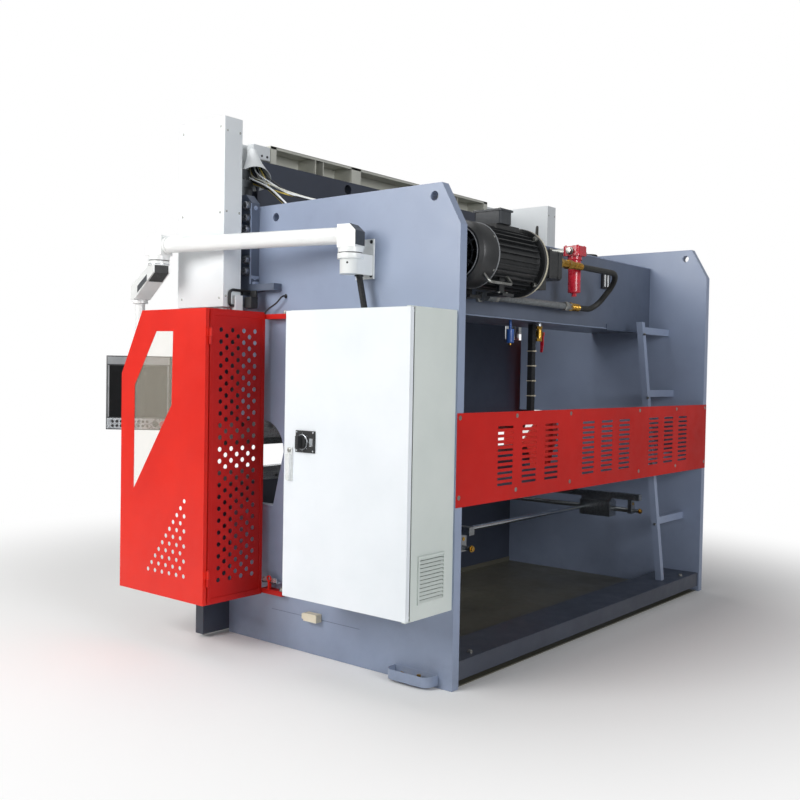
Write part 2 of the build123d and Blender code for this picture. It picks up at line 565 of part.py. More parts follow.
def side_guard_door(seam=5.0, knuckles=True):
    y1 = SG_Y
    prof = [(y1, SG_Z0), (y1, SG_Z1), (SG_FRONT_TOP, SG_Z1), (SG_FRONT, SG_SLANT), (SG_FRONT, SG_Z0)]
    side = make_face(Polyline(*prof, close=True)) - make_face(Polyline(*GLASS, close=True))
    field = []
    for k in range(20):
        n = round((20 - k) * 0.3)
        z = SG_Z0 + 123 + 20 * k
        field += [(y1 - 146 - 47.8 * i - 23.9 * (k % 2), z) for i in range(n)]
    outer = Plane(origin=(SG_X1 - 3, 0, 0), x_dir=(0, 1, 0), z_dir=(1, 0, 0))
    d = extrude(outer * punched(side, field, 9), 3)
    d += box(SG_X1 - SG_SEAM + seam, SG_X1 - 3, y1 - 3, y1, SG_Z0, SG_Z1)
    if knuckles:
        for z in KNUCKLES:
            d += box(KNUCKLE_X, SG_X1 - 6, y1, y1 + 6, z + 36, z + 72)
            d += cyl_z(8, z + 36, z + 72, KNUCKLE_X, KNUCKLE_Y)
            d -= cyl_z(4.05, z + 35, z + 73, KNUCKLE_X, KNUCKLE_Y)
    return d


def side_guard_window():
    w = [(-68, 1625), (88, 1622), (82, 1235), (-239, 772), (-252, 1336)]
    return plate_yz(w, SG_X1 - 7, SG_X1 - 3)


def arm_dir():
    return sin(radians(ARM_DEG)), -cos(radians(ARM_DEG))


def arm_point(d):
    s, c = arm_dir()
    return ARM_X + s * d, ARM_Y + c * d


def tube_between(p, q, r):
    v = Vector(*q) - Vector(*p)
    return Plane(origin=p, z_dir=v) * Cylinder(r, v.length, align=(Align.CENTER, Align.CENTER, Align.MIN))


def pendant_bracket():
    b = box(PLATE_X, PLATE_X + 10, ARM_Y - 55, ARM_Y + 55, JOINT_Z - 116, JOINT_Z + 73)
    body = plate_yz([(ARM_Y - 50, JOINT_Z - 75), (ARM_Y - 25, JOINT_Z - 100), (ARM_Y + 50, JOINT_Z - 100),
                     (ARM_Y + 50, JOINT_Z - 5), (ARM_Y - 50, JOINT_Z - 5)], PLATE_X + 10, ARM_X)
    b += body + cyl_z(50, JOINT_Z - 100, JOINT_Z - 5, ARM_X, ARM_Y)
    b += cyl_z(62, JOINT_Z - 30, JOINT_Z - 5, ARM_X, ARM_Y)
    return b - cyl_z(20.05, JOINT_Z - 50, JOINT_Z - 4, ARM_X, ARM_Y)


def arm_prism(points, w, deg=ARM_DEG, origin=(ARM_X, ARM_Y)):
    """A casting drawn in length and height along a turned direction, w wide."""
    a = radians(deg)
    side = Plane(origin=(*origin, 0), x_dir=(sin(a), -cos(a), 0), z_dir=(-cos(a), -sin(a), 0))
    return extrude(side * make_face(Polyline(*points, close=True)), w / 2, both=True)


def pendant_arm():
    z0, z1, n = JOINT_Z, ARM_Z + 48, ARM_LEN
    a = cyl_z(60, z0, z0 + 22, ARM_X, ARM_Y) + cyl_z(20, z0 - 45, z0, ARM_X, ARM_Y)
    a += arm_prism([(-48, z0 + 22), (48, z0 + 22), (48, z1), (-18, z1), (-48, z1 - 30)], 92)
    p, q = arm_point(40), arm_point(n - 40)
    a += tube_between((p[0], p[1], ARM_Z), (q[0], q[1], ARM_Z), ARM_R)
    a += arm_prism([(n - 50, z0 + 30), (n + 50, z0 + 30), (n + 50, z1 - 32), (n + 20, z1), (n - 50, z1)], 92)
    e = arm_point(n)
    a += cyl_z(55, z0 + 5, z0 + 30, e[0], e[1])
    return a - cyl_z(20.05, z0 + 4, z0 + 60, e[0], e[1])


def pendant_head():
    q = arm_point(ARM_LEN)
    z = JOINT_Z
    run = hypot(HEAD_X - q[0], HEAD_Y - q[1])
    deg = degrees(atan2(HEAD_X - q[0], q[1] - HEAD_Y))
    h = cyl_z(54, z - 22, z, q[0], q[1]) + cyl_z(20, z, z + 55, q[0], q[1])
    h += arm_prism([(-48, z - 22), (48, z - 22), (run + 40, z - 105), (run + 40, z - 180), (run - 40, z - 180),
                    (-48, z - 62)], 88, deg, q)
    h += cyl_z(42, z - 200, z - 175, HEAD_X, HEAD_Y)
    return h + cyl_z(26, CONTROL_Z1 + 25, z - 175, HEAD_X, HEAD_Y)


def controller():
    w, t, h = 360, 95, CONTROL_Z1 - CONTROL_Z0
    c = Box(t, w, h)
    c = fillet(c.edges().filter_by(Axis.Z), 10)
    c -= Pos(t / 2, 0, 8) * Box(6, w - 34, h - 120)
    c = Pos(HEAD_X, HEAD_Y, (CONTROL_Z0 + CONTROL_Z1) / 2) * Rot(0, 0, HEAD_DEG) * Pos(-25, 0, 0) * c
    return c + cyl_z(40, CONTROL_Z1 - 2, CONTROL_Z1 + 25, HEAD_X, HEAD_Y)


def conduit():
    """Conduit from the cabinet top up into the bracket, leaning forward as it rises."""
    x, y = PLATE_X + 62, ARM_Y + 15
    c = tube_between((x, y + 54, CAB_Z1 - 50), (x, y - 12, JOINT_Z - 50), 16)
    return c & box(x - 30, x + 30, y - 60, y + 90, CAB_Z1, JOINT_Z - 100)


def foot_tray():
    """Open tray on the outer face of the side plate, rounded at its free corners."""
    t = box(PLATE_X, PLATE_X + 80, REAR - 330, REAR - 78, 14, 60)
    t = fillet(t.edges().filter_by(Axis.Z).sort_by(Axis.X)[-2:], 45)
    c = box(PLATE_X + 3, PLATE_X + 77, REAR - 327, REAR - 81, 17, 61)
    return t - fillet(c.edges().filter_by(Axis.Z).sort_by(Axis.X)[-2:], 42)


def cable_bundle():
    """Cables from the top box over the inside of the side plate down to the tank lid."""
    x = PLATE_X - 120
    return cord([(TOPBOX_X, TOPBOX_Y1 - 45, TOPBOX_Z0 + 80), (x, TOPBOX_Y1 - 45, TOPBOX_Z0 + 80),
                 (x, 330, PLATE_TOP + 65), (x, TANK_Y0 + 70, PLATE_TOP + 10), (x, TANK_Y0 + 70, TANK_Z1)], 9)


def main():
    save("side_plate_right", side_plate())
    save("side_plate_left", mirrored(side_plate()))
    save("bed", bed())
    save("lower_die", lower_die())
    save("ram", ram())
    save("upper_tool", upper_tool())
    for side, f in (("right", lambda s: s), ("left", mirrored)):
        save(f"cylinder_{side}", f(cylinder()))
        save(f"piston_rod_{side}", f(rod()))
        save(f"ram_guide_{side}", f(guide()))
        save(f"end_cover_{side}", f(cover()))
    save("top_box", top_box())
    save("oil_tank", oil_tank())
    save("filler_cap", filler_cap())
    save("rear_guard", rear_guard())
    save("rear_sill", rear_sill())
    save("floor_pan", floor_pan())
    save("ladder", ladder())
    save("motor", motor())
    save("pump", pump())
    save("fan_cowl", fan_cowl())
    save("terminal_box", terminal_box())
    save("pump_bracket", pump_bracket())
    save("pump_fitting", pump_fitting())
    save("pressure_hose", pressure_hose())
    save("loop_hose", loop_hose())
    save("return_pipe", return_pipe())
    save("filter_unit", filter_unit())
    save("level_gauge", level_gauge())
    save("ball_valve", ball_valve())
    save("valve_lever", valve_lever())
    save("air_canister", air_canister())
    save("cable_duct", cable_duct())
    save("backgauge_rail_right", backgauge_rail())
    save("backgauge_rail_left", mirrored(backgauge_rail()))
    save("drive_shaft", drive_shaft())
    save("backgauge_beam", backgauge_beam())
    save("cabinet", cabinet())
    save("cabinet_door", cabinet_door())
    save("switch_plate", switch_plate())
    save("switch_knob", switch_knob())
    save("door_handle", door_handle())
    save("connector_box", connector_box())
    save("side_guard_rear", side_guard_rear())
    save("side_guard_door", side_guard_door())
    save("side_guard_window", side_guard_window())
    save("side_guard_rear_left", mirrored(side_guard_rear(knuckles=False)))
    save("side_guard_panel_left", mirrored(side_guard_door(seam=0, knuckles=False)))
    save("side_guard_window_left", mirrored(side_guard_window()))
    save("pendant_bracket", pendant_bracket())
    save("pendant_arm", pendant_arm())
    save("pendant_head", pendant_head())
    save("controller", controller())
    save("conduit", conduit())
    save("foot_tray", foot_tray())
    save("cable_bundle", cable_bundle())


main()
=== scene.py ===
import random
from math import atan2, cos, pi, radians, sin, tan

import bmesh
import bpy
from mathutils import Matrix, Vector


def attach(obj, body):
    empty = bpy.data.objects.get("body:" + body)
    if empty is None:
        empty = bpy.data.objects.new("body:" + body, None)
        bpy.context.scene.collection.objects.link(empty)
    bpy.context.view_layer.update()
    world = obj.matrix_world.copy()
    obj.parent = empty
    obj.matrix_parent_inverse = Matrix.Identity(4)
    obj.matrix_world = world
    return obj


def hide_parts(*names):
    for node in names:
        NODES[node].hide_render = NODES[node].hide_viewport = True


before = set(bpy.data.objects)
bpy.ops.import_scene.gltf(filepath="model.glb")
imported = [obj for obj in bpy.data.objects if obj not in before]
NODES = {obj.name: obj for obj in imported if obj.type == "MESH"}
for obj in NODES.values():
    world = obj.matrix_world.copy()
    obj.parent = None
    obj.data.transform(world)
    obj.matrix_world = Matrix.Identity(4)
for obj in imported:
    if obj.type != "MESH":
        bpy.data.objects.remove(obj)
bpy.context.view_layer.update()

X, Y, Z = Vector((1, 0, 0)), Vector((0, 1, 0)), Vector((0, 0, 1))

# Places from the CAD, in mm. Right-hand values; the left side is their mirror image.
PLATE_X = 1420                      # outer face of the side plate
TANK_Y0, TANK_Y1 = 690, 1130        # front and rear face of the oil tank
TANK_Z0, TANK_Z1 = 1730, 2169       # underside and lid of the oil tank
MOTOR_Y, MOTOR_Z = 1345, 1993       # axis of motor and pump, along X
HOSE_Y0, HOSE_Z0 = 1377, 2033       # pressure hose at the pump
HOSE_Y1, HOSE_Z1 = 1200, 1828       # pressure hose and return pipe along the tank
HOSE_END = -440                     # where the pressure hose turns back
FILTER_X, FILTER_Y = -30, 1290
FILLER_X, FILLER_Y = -900, 910
GUARD_X0, GUARD_X1 = 1464, 1827     # rear sheet of the side guard
GUARD_Y = 330                       # its rear face
GUARD_Z0, GUARD_Z1 = 262, 1722
HINGE_X, HINGE_Y, KNUCKLES = 1829, 338, (358, 1551)
ARM_X, ARM_Y = 1530, 977            # post of the pendant arm
NECK_X, NECK_Y = 1778.5, -143.8     # joint between arm and neck
TUBE_X, TUBE_Y = 1650, -479         # tube that carries the controller
CAB_Y, CAB_TOP = 1520, 1704         # rear face and roof of the cabinet
SWITCH_Y, SWITCH_Z = 905, 1098


def lin(code):
    """Linear colour from a hex code."""
    out = []
    for i in (1, 3, 5):
        c = int(code[i:i + 2], 16) / 255
        out.append(c / 12.92 if c <= 0.04045 else ((c + 0.055) / 1.055) ** 2.4)
    return (*out, 1.0)


class Tree:
    """Short calls for the nodes of a material or of the world."""

    def __init__(self, owner):
        owner.use_nodes = True
        self.nodes, self.links = owner.node_tree.nodes, owner.node_tree.links

    def set(self, node, inputs):
        """Give each input its value, or link it to the socket that is given."""
        for key, value in inputs.items():
            if isinstance(value, bpy.types.NodeSocket):
                self.links.new(value, node.inputs[key])
            else:
                node.inputs[key].default_value = value

    def add(self, kind, output, inputs, **settings):
        """Add a node and return one of its outputs."""
        node = self.nodes.new("ShaderNode" + kind)
        for key, value in settings.items():
            setattr(node, key, value)
        self.set(node, inputs)
        return node.outputs[output]

    def math(self, operation, a, b, clamp=False):
        return self.add("Math", 0, {0: a, 1: b}, operation=operation, use_clamp=clamp)


def material(name, color, color2, rough, scale, bump, bump_scale=220, metallic=0.0, coat=None, grime_and_shade=None, low=0.0,
             stretch=(1, 1, 1), contrast=(0.35, 0.65), specular=0.5):
    """Two tones mixed by noise, with uneven roughness, fine bump, grime in patches and painted shade low down."""
    m = bpy.data.materials.new(name)
    t = Tree(m)
    place = t.add("TexCoord", "Object", {})
    at = t.add("Mapping", "Vector", {"Vector": place, "Scale": stretch})

    def noise(size, detail, roughness=0.5):
        return t.add("TexNoise", "Fac", {"Vector": at, "Scale": size, "Detail": detail, "Roughness": roughness})

    tone = t.add("ValToRGB", "Color", {"Fac": noise(scale, 5)})
    for end, position, code in zip(tone.node.color_ramp.elements, contrast, (color, color2)):
        end.position, end.color = position, lin(code)
    if grime_and_shade:
        patches = noise(scale * 2.3, 9, 0.7)
        share = t.add("MapRange", "Result", {"Value": patches, "From Min": 0.52, "From Max": 0.8, "To Max": grime_and_shade[0]})
        # low darkens the lower part, in patches, towards the same colour as the grime: painted shade.
        if low:
            height = t.add("SeparateXYZ", "Z", {"Vector": place})
            low_shade = t.add("MapRange", "Result", {"Value": height, "From Min": 0.55, "From Max": 0.0, "To Max": low})
            share = t.math("ADD", share, t.math("MULTIPLY", low_shade, patches), True)
        # Inputs 0, 6 and 7 of a colour mix are its factor and its two colours, output 2 the result.
        tone = t.add("Mix", 2, {0: share, 6: tone, 7: lin(grime_and_shade[1])}, data_type="RGBA")
    wear = t.add("MapRange", "Result", {"Value": noise(scale * 6, 6), "From Min": 0.3, "From Max": 0.7,
                                        "To Min": rough[0], "To Max": rough[1]})
    shader = {"Base Color": tone, "Roughness": wear, "Metallic": metallic, "Specular IOR Level": specular}
    if bump:
        grain = noise(bump_scale, 3)
        shader["Normal"] = t.add("Bump", "Normal", {"Height": grain, "Strength": bump, "Distance": 0.002})
    if coat:
        shader["Coat Weight"], shader["Coat Roughness"] = coat
    t.set(t.nodes["Principled BSDF"], shader)
    return m


# Columns: name, two tones, least and most roughness, size of the noise, strength and fineness of the bump
# The slate paint of the plates is darkened towards the bottom: painted shade.
SLATE = material("slate_enamel", "#929fb8", "#8895ae", (0.32, 0.46), 1.6, 0.1, 150, coat=(0.25, 0.25),
                 grime_and_shade=(0.1, "#4a4f5a"), low=0.5)
# Darker copy of the slate paint: painted shade for parts inside the frame, darker again towards the bottom.
SLATE_SHADED = material("slate_enamel_shaded", "#596376", "#4f596b", (0.3, 0.45), 1.6, 0.1, 150, coat=(0.25, 0.25),
                    grime_and_shade=(0.12, "#3b3d40"), low=0.2)
# Darkest copy of the slate paint: painted shade for the bed, ram and rear sill, darker again towards the bottom.
SLATE_DEEP_SHADE = material("slate_enamel_deep_shade", "#3a4150", "#323846", (0.34, 0.5), 1.8, 0.1, 150, coat=(0.2, 0.3),
                 grime_and_shade=(0.2, "#2c2e30"), low=0.25)
RED = material("red_powder_coat", "#dc2412", "#cf1d0f", (0.34, 0.48), 2.2, 0.12, 320, coat=(0.08, 0.25),
               specular=0.32, grime_and_shade=(0.05, "#7d1a12"))
# Darker copy of the red powder coat: painted shade for the guard sheets that face the rear.
RED_SHADED = material("red_powder_coat_shaded", "#c41a13", "#b5150f", (0.36, 0.5), 2.2, 0.12, 320, coat=(0.04, 0.3),
                  specular=0.25, grime_and_shade=(0.08, "#6b1812"))
WHITE = material("white_powder_coat", "#e9edef", "#e1e6e9", (0.36, 0.5), 2, 0.18, 420, coat=(0.15, 0.3),
                 grime_and_shade=(0.05, "#b9bcb8"))
WHITE_OLD = material("ivory_enamel", "#d3d3c8", "#c8c9bf", (0.4, 0.55), 3, 0.12, 300, grime_and_shade=(0.12, "#8f9087"))
WHITE_GLOSS = material("white_gloss_enamel", "#dfe2e2", "#d2d6d6", (0.2, 0.34), 9, 0.05, 260, coat=(0.4, 0.12))
CAB = material("cabinet_grain_paint", "#e6ebf0", "#dfe5ea", (0.38, 0.52), 2.5, 0.3, 520, coat=(0.1, 0.35),
               grime_and_shade=(0.04, "#b4b8b8"))
# Darker copy of the cabinet paint: painted shade for the cabinet body beside its door.
CAB_SHADED = material("cabinet_grain_paint_shaded", "#d3dad6", "#cad2ce", (0.4, 0.55), 2.5, 0.3, 520,
                    grime_and_shade=(0.05, "#a5aaa6"))
ARM = material("arm_enamel", "#eceeed", "#e3e6e6", (0.28, 0.4), 5, 0.08, 260, coat=(0.3, 0.2),
               grime_and_shade=(0.05, "#b8b8b2"))
STEEL = material("machined_steel", "#a4a8ab", "#8e9295", (0.22, 0.4), 9, 0.08, 60, 1.0, stretch=(1, 8, 8),
                 grime_and_shade=(0.15, "#5c564c"))
DARK_STEEL = material("oiled_steel", "#5d6165", "#484b4f", (0.3, 0.5), 8, 0.12, 120, 0.9, grime_and_shade=(0.25, "#2e2b26"))
CHROME = material("ground_chrome", "#cdd1d4", "#bfc4c8", (0.08, 0.2), 14, 0.02, 300, 1.0)
ZINC = material("zinc_plated", "#b3b4b0", "#93948f", (0.25, 0.42), 22, 0.1, 240, 1.0)
GREY_BOLT = material("plated_grey_screw", "#8b8f96", "#74787f", (0.25, 0.4), 20, 0.06, 240, 0.85,
                     grime_and_shade=(0.2, "#3c3d40"))
SILVER = material("silver_trim", "#c6cbd0", "#b4bac0", (0.22, 0.36), 10, 0.04, metallic=0.7)
BRASS = material("brass_fitting", "#c9a04a", "#a87f33", (0.2, 0.38), 18, 0.08, 200, 1.0, grime_and_shade=(0.2, "#6d5424"))
BLACK_CAST = material("black_cast_enamel", "#1b1d1f", "#232527", (0.34, 0.52), 12, 0.22, 160, coat=(0.2, 0.3),
                      grime_and_shade=(0.25, "#3b3833"))
GREY_CAST = material("grey_cast_enamel", "#3e4247", "#33373b", (0.35, 0.5), 12, 0.2, 160, grime_and_shade=(0.2, "#4d4a44"))
BLACK = material("black_moulded_plastic", "#191a1c", "#212224", (0.42, 0.6), 20, 0.15, 500)
RUBBER = material("hose_rubber", "#1c1d1b", "#262724", (0.45, 0.62), 25, 0.35, 420)
GREY_HOSE = material("braided_return_hose", "#868a8c", "#707476", (0.4, 0.55), 60, 0.4, 500, 0.35)
DUCT = material("duct_plastic", "#232629", "#1c1e21", (0.5, 0.65), 14, 0.1, 300)
CREAM = material("cream_plastic", "#d9d2bd", "#cfc7b0", (0.4, 0.55), 12, 0.1, 300)
CREAM_RING = material("cream_enamel", "#c9c3ae", "#b8b29d", (0.35, 0.5), 10, 0.1, 200)
GREY_RING = material("light_ring", "#9a9da0", "#8b8e92", (0.3, 0.45), 14, 0.08, 260, 0.3)
YELLOW = material("cable_yellow", "#c9b45a", "#bda64c", (0.4, 0.55), 20, 0.1, 300)
CRIMSON = material("crimson_enamel", "#c81e34", "#b0172c", (0.2, 0.34), 8, 0.08, 180, coat=(0.5, 0.12))
BLUE = material("blue_enamel", "#2f5fae", "#254e93", (0.25, 0.38), 12, 0.06, 200, coat=(0.4, 0.2))
PAN = material("oily_floor_sheet", "#5f5d50", "#4d4b42", (0.3, 0.6), 0.9, 0.04, 30, coat=(0.2, 0.3),
               grime_and_shade=(0.35, "#2f2e2a"), contrast=(0.3, 0.7))
GREY_BOX = material("control_housing", "#3c3e41", "#343639", (0.4, 0.55), 9, 0.12, 360)
SCREEN = material("screen_face", "#08090b", "#0b0c0f", (0.16, 0.26), 4, 0, coat=(0.15, 0.1), specular=0.3)


def glass():
    m = bpy.data.materials.new("clear_guard_sheet")
    t = Tree(m)
    smear = t.add("TexNoise", "Fac", {"Vector": t.add("TexCoord", "Object", {}), "Scale": 6})
    wear = t.add("MapRange", "Result", {"Value": smear, "To Min": 0.05, "To Max": 0.16})
    t.set(t.nodes["Principled BSDF"], {"Base Color": lin("#dcd6c6"), "Alpha": 0.16, "Roughness": wear})
    return m


CLEAR = glass()


def vec(x, y, z):
    return Vector((x, y, z)) / 1000


def box(bm, x0, x1, y0, y1, z0, z1, M=None):
    corners = [(x, y, z) for z in (z0, z1) for x, y in ((x0, y0), (x1, y0), (x1, y1), (x0, y1))]
    v = [bm.verts.new(M @ vec(*c) if M else vec(*c)) for c in corners]
    for f in ((3, 2, 1, 0), (4, 5, 6, 7), (0, 1, 5, 4), (1, 2, 6, 5), (2, 3, 7, 6), (3, 0, 4, 7)):
        bm.faces.new([v[i] for i in f])


def basis(d):
    """Two directions square to d, and d itself."""
    d = Vector(d).normalized()
    u = Z.cross(d).normalized() if abs(d.z) < 0.9 else d.orthogonal().normalized()
    return u, d.cross(u).normalized(), d


def circle(bm, c, u, w, r, seg):
    """Ring of vertices. c is in metres and r in mm."""
    return [bm.verts.new(c + (u * cos(a) + w * sin(a)) * (r / 1000)) for a in [2 * pi * i / seg for i in range(seg)]]


def lathe(bm, p, d, profile, seg=32):
    """Turned shape from pairs of radius and distance along d, closed where the radius is 0."""
    u, w, d = basis(d)
    p = vec(*p)
    rings = []
    for r, h in profile:
        c = p + d * (h / 1000)
        rings.append(circle(bm, c, u, w, r, seg) if r > 1e-6 else [bm.verts.new(c)])
    for a, b in zip(rings, rings[1:]):
        for i in range(seg):
            j = (i + 1) % seg
            if len(a) > 1 and len(b) > 1:
                bm.faces.new((a[j], a[i], b[i], b[j]))
            elif len(b) > 1:
                bm.faces.new((a[0], b[i], b[j]))
            elif len(a) > 1:
                bm.faces.new((a[j], a[i], b[0]))


def plug(r, h):
    return [(0, 0), (r, 0), (r, h), (0, h)]


def nut(r, h, dr=4, dz=3):
    """Profile of a plug whose far edge is cut off."""
    return [(0, 0), (r, 0), (r, h - dz), (r - dr, h), (0, h)]


def ring(r0, r1, h):
    return [(r0, 0), (r1, 0), (r1, h), (r0, h), (r0, 0)]


def hexagon(bm, p, d, r, h):
    """Washer and hexagon head with a chamfered crown."""
    lathe(bm, p, d, plug(r * 1.35, h * 0.2), 20)
    lathe(bm, p, d, [(0, h * 0.2), (r, h * 0.2), (r, h * 0.85), (r * 0.84, h), (0, h)], 6)


def socket(bm, p, d, r, h):
    """Socket head screw."""
    lathe(bm, p, d, [(0, 0), (r, 0), (r, h * 0.9), (r * 0.9, h), (r * 0.52, h), (r * 0.5, h * 0.45), (0, h * 0.45)], 20)


def pan(bm, p, d, r):
    """Pan head screw."""
    lathe(bm, p, d, [(0, 0), (r, 0), (r * 0.95, r * 0.3), (r * 0.6, r * 0.55), (0, r * 0.62)], 16)


def torus(bm, p, d, R, r, seg=40, sides=10):
    u, w, d = basis(d)
    p = vec(*p)
    rows = []
    for i in range(seg):
        a = 2 * pi * i / seg
        o = u * cos(a) + w * sin(a)
        rows.append(circle(bm, p + o * (R / 1000), o, d, r, sides))
    for i in range(seg):
        A, B = rows[i], rows[(i + 1) % seg]
        for k in range(sides):
            j = (k + 1) % sides
            bm.faces.new((A[k], B[k], B[j], A[j]))


def tube(bm, pts, r, seg=12):
    """Round tube with closed ends."""
    P = [vec(*p) for p in pts]
    u = (P[1] - P[0]).orthogonal().normalized()
    rings = []
    for i, p in enumerate(P):
        t = (P[min(len(P) - 1, i + 1)] - P[max(0, i - 1)]).normalized()
        u = (u - t * u.dot(t)).normalized()
        rings.append(circle(bm, p, u, t.cross(u), r, seg))
    for A, B in zip(rings, rings[1:]):
        for k in range(seg):
            j = (k + 1) % seg
            bm.faces.new((A[k], A[j], B[j], B[k]))
    bm.faces.new(rings[0][::-1])
    bm.faces.new(rings[-1])


def prism(bm, pts, axis, a0, a1):
    """Outline pushed along x or y. pts are the two other coordinates in X, Y, Z order."""
    A, B = [[bm.verts.new(vec(a, *p) if axis == "x" else vec(p[0], a, p[1])) for p in pts] for a in (a0, a1)]
    bm.faces.new(A)
    bm.faces.new(B[::-1])
    for i in range(len(pts)):
        j = (i + 1) % len(pts)
        bm.faces.new((A[j], A[i], B[i], B[j]))


def smooth_path(points, bend=0.45, n=10):
    """Straight runs joined by tangent arcs, as a list of points."""
    P = [Vector(p) for p in points]
    out = [P[0]]
    for a, b, c in zip(P, P[1:], P[2:]):
        d1, d2 = a - b, c - b
        turn = pi - d1.angle(d2)
        if turn < 0.02:
            out.append(b)
            continue
        cut = bend * min(d1.length, d2.length)
        r = cut / tan(turn / 2)
        s, e = b + d1.normalized() * cut, b + d2.normalized() * cut
        mid = (d1.normalized() + d2.normalized()).normalized()
        o = b + mid * (r / cos(turn / 2))
        out += [o + (s - o).lerp(e - o, i / n).normalized() * r for i in range(n + 1)]
    out.append(P[-1])
    return out


def soften(ob, width, angle):
    b = ob.modifiers.new("edge", "BEVEL")
    b.width = width / 1000
    b.segments = 2
    b.limit_method = "ANGLE"
    b.angle_limit = radians(angle)


def piece(name, body, mat, bevel=0.0, replaces=(), mirror="", at=None):
    """Decorator for a function that adds the piece's faces, in mm, to an empty bmesh.

    at places a piece that is built in a frame of its own. mirror is "both" where the left side
    has the same piece, or "flip" for the left side alone.
    """
    def run(build):
        bm = bmesh.new()
        build(bm)
        if at:
            for v in bm.verts:
                v.co = at @ v.co
        turned = bm.verts
        if mirror == "both":
            copy = bmesh.ops.duplicate(bm, geom=bm.verts[:] + bm.edges[:] + bm.faces[:])["geom"]
            turned = [g for g in copy if isinstance(g, bmesh.types.BMVert)]
        if mirror:
            for v in turned:
                v.co.x = -v.co.x
        bmesh.ops.recalc_face_normals(bm, faces=bm.faces)
        for f in bm.faces:
            f.smooth = True
        for e in bm.edges:
            if len(e.link_faces) == 2 and e.calc_face_angle(0) > radians(32):
                e.smooth = False
        me = bpy.data.meshes.new(name)
        bm.to_mesh(me)
        bm.free()
        ob = bpy.data.objects.new(name, me)
        bpy.context.scene.collection.objects.link(ob)
        me.materials.append(mat)
        if bevel:
            soften(ob, bevel, 40)
        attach(ob, body)
        if replaces:
            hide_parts(*replaces)
        return build
    return run


# Finish and edge rounding in mm of each CAD node
for mat, rounding, names in (
        (SLATE, 0, "side_plate_right side_plate_left ladder foot_tray"),
        # Darkest slate for the bed, ram and rear sill: painted shade.
        (SLATE_DEEP_SHADE, 0, "bed ram rear_sill"),
        # Darker slate for the ram guides, tank, pump bracket and backgauge beam: painted shade.
        (SLATE_SHADED, 0, "ram_guide_right ram_guide_left oil_tank"),
        (SLATE_SHADED, 1, "pump_bracket"),
        (SLATE_SHADED, 2, "backgauge_beam"),
        (PAN, 0, "floor_pan"),
        (GREY_HOSE, 0, "return_pipe"),
        (STEEL, 1, "lower_die upper_tool"),
        (STEEL, 0, "backgauge_rail_right backgauge_rail_left"),
        (DARK_STEEL, 0, "cylinder_right cylinder_left"),
        (CHROME, 0, "piston_rod_right piston_rod_left drive_shaft"),
        (WHITE, 2, "end_cover_right end_cover_left"),
        (WHITE_OLD, 0, "top_box"),
        (WHITE_GLOSS, 1.5, "door_handle"),
        # Darker cabinet paint on the body: painted shade.
        (CAB_SHADED, 0, "cabinet"),
        (CAB, 4, "cabinet_door"),
        (BLACK, 0, "filler_cap level_gauge cable_duct conduit"),
        (BLACK, 1.5, "switch_plate"),
        (BLACK, 2, "switch_knob"),
        # Darker red on the rear guard sheets: painted shade.
        (RED_SHADED, 0, "rear_guard side_guard_rear side_guard_rear_left"),
        (RED, 0, "side_guard_door side_guard_panel_left"),
        (CLEAR, 0, "side_guard_window side_guard_window_left"),
        (BLACK_CAST, 0, "motor fan_cowl pump"),
        (GREY_CAST, 2, "terminal_box"),
        (BRASS, 0, "pump_fitting ball_valve"),
        (RUBBER, 0, "pressure_hose loop_hose"),
        (CRIMSON, 0, "filter_unit"),
        (CRIMSON, 1, "valve_lever"),
        (BLUE, 0, "air_canister"),
        (CREAM, 0, "cable_bundle"),
        (CREAM, 2, "connector_box"),
        (ARM, 0, "pendant_arm pendant_head"),
        (ARM, 2, "pendant_bracket"),
        (GREY_BOX, 0, "controller")):
    for name in names.split():
        node = NODES[name]
        node.data.materials.clear()
        node.data.materials.append(mat)
        node.modifiers.new("weld", "WELD").merge_threshold = 0.00002
        if rounding:
            soften(node, rounding, 50)


# Guide blocks, covers and top box
@piece("guide_bolts", "frame", GREY_BOLT, 0.8, mirror="both")
def guide_bolts(bm):
    for z in (2279, 2214, 2156, 1998, 1938):
        lathe(bm, (1475, 203, z), X, plug(25, 5), 28)
        socket(bm, (1480, 203, z), X, 21, 24)


@piece("guide_block_trim", "frame", SLATE, 0.8, mirror="both")
def guide_trim(bm):
    box(bm, 1475, 1480, 222, 229, 1872, 2292)
    box(bm, PLATE_X, 1475, 229, 232, 1900, 1916)
    box(bm, 1436, 1466, 229, 250, 1870, 1884)
    for z in (1905, 2090, 2270):
        hexagon(bm, (1448, 229, z), Y, 9, 8)


@piece("cover_screws", "frame", ZINC, mirror="both")
def cover_screws(bm):
    for z in (1790, 2225, 2660):
        for y in (-120, 180):
            pan(bm, (1646, y, z), X, 6)
    for z in (1800, 2230, 2640):
        for x in (1545, 1630):
            pan(bm, (x, 211, z), Y, 6)
    for x in (1130, 1310, 1490):
        for z in (2130, 2410, 2670):
            pan(bm, (x, -155, z), -Y, 6)


@piece("top_box_ribs", "frame", WHITE_OLD, 0.8)
def top_box_ribs(bm):
    for s in (-1, 1):
        for x in (656, 723):
            box(bm, s * x - 3, s * x + 3, -192, -48, 2443, 2695)
    for z0, z1 in ((2682, 2698), (2440, 2454)):
        box(bm, -1091, 1091, -49, -45, z0, z1)
    for i in range(-5, 6):
        for z in (2670, 2468):
            pan(bm, (i * 190, -195, z), -Y, 6)


@piece("junction_box", "frame", WHITE, 3)
def junction_box(bm):
    box(bm, 1094, 1222, -98, -46, 2608, 2686)


@piece("junction_box_ports", "frame", GREY_BOX)
def junction_box_ports(bm):
    for x in (1118, 1158):
        lathe(bm, (x, -46, 2628), Y, [(0, 0), (7, 0), (7, 2), (4.5, 2.6), (4.5, 0.6), (0, 0.6)], 16)


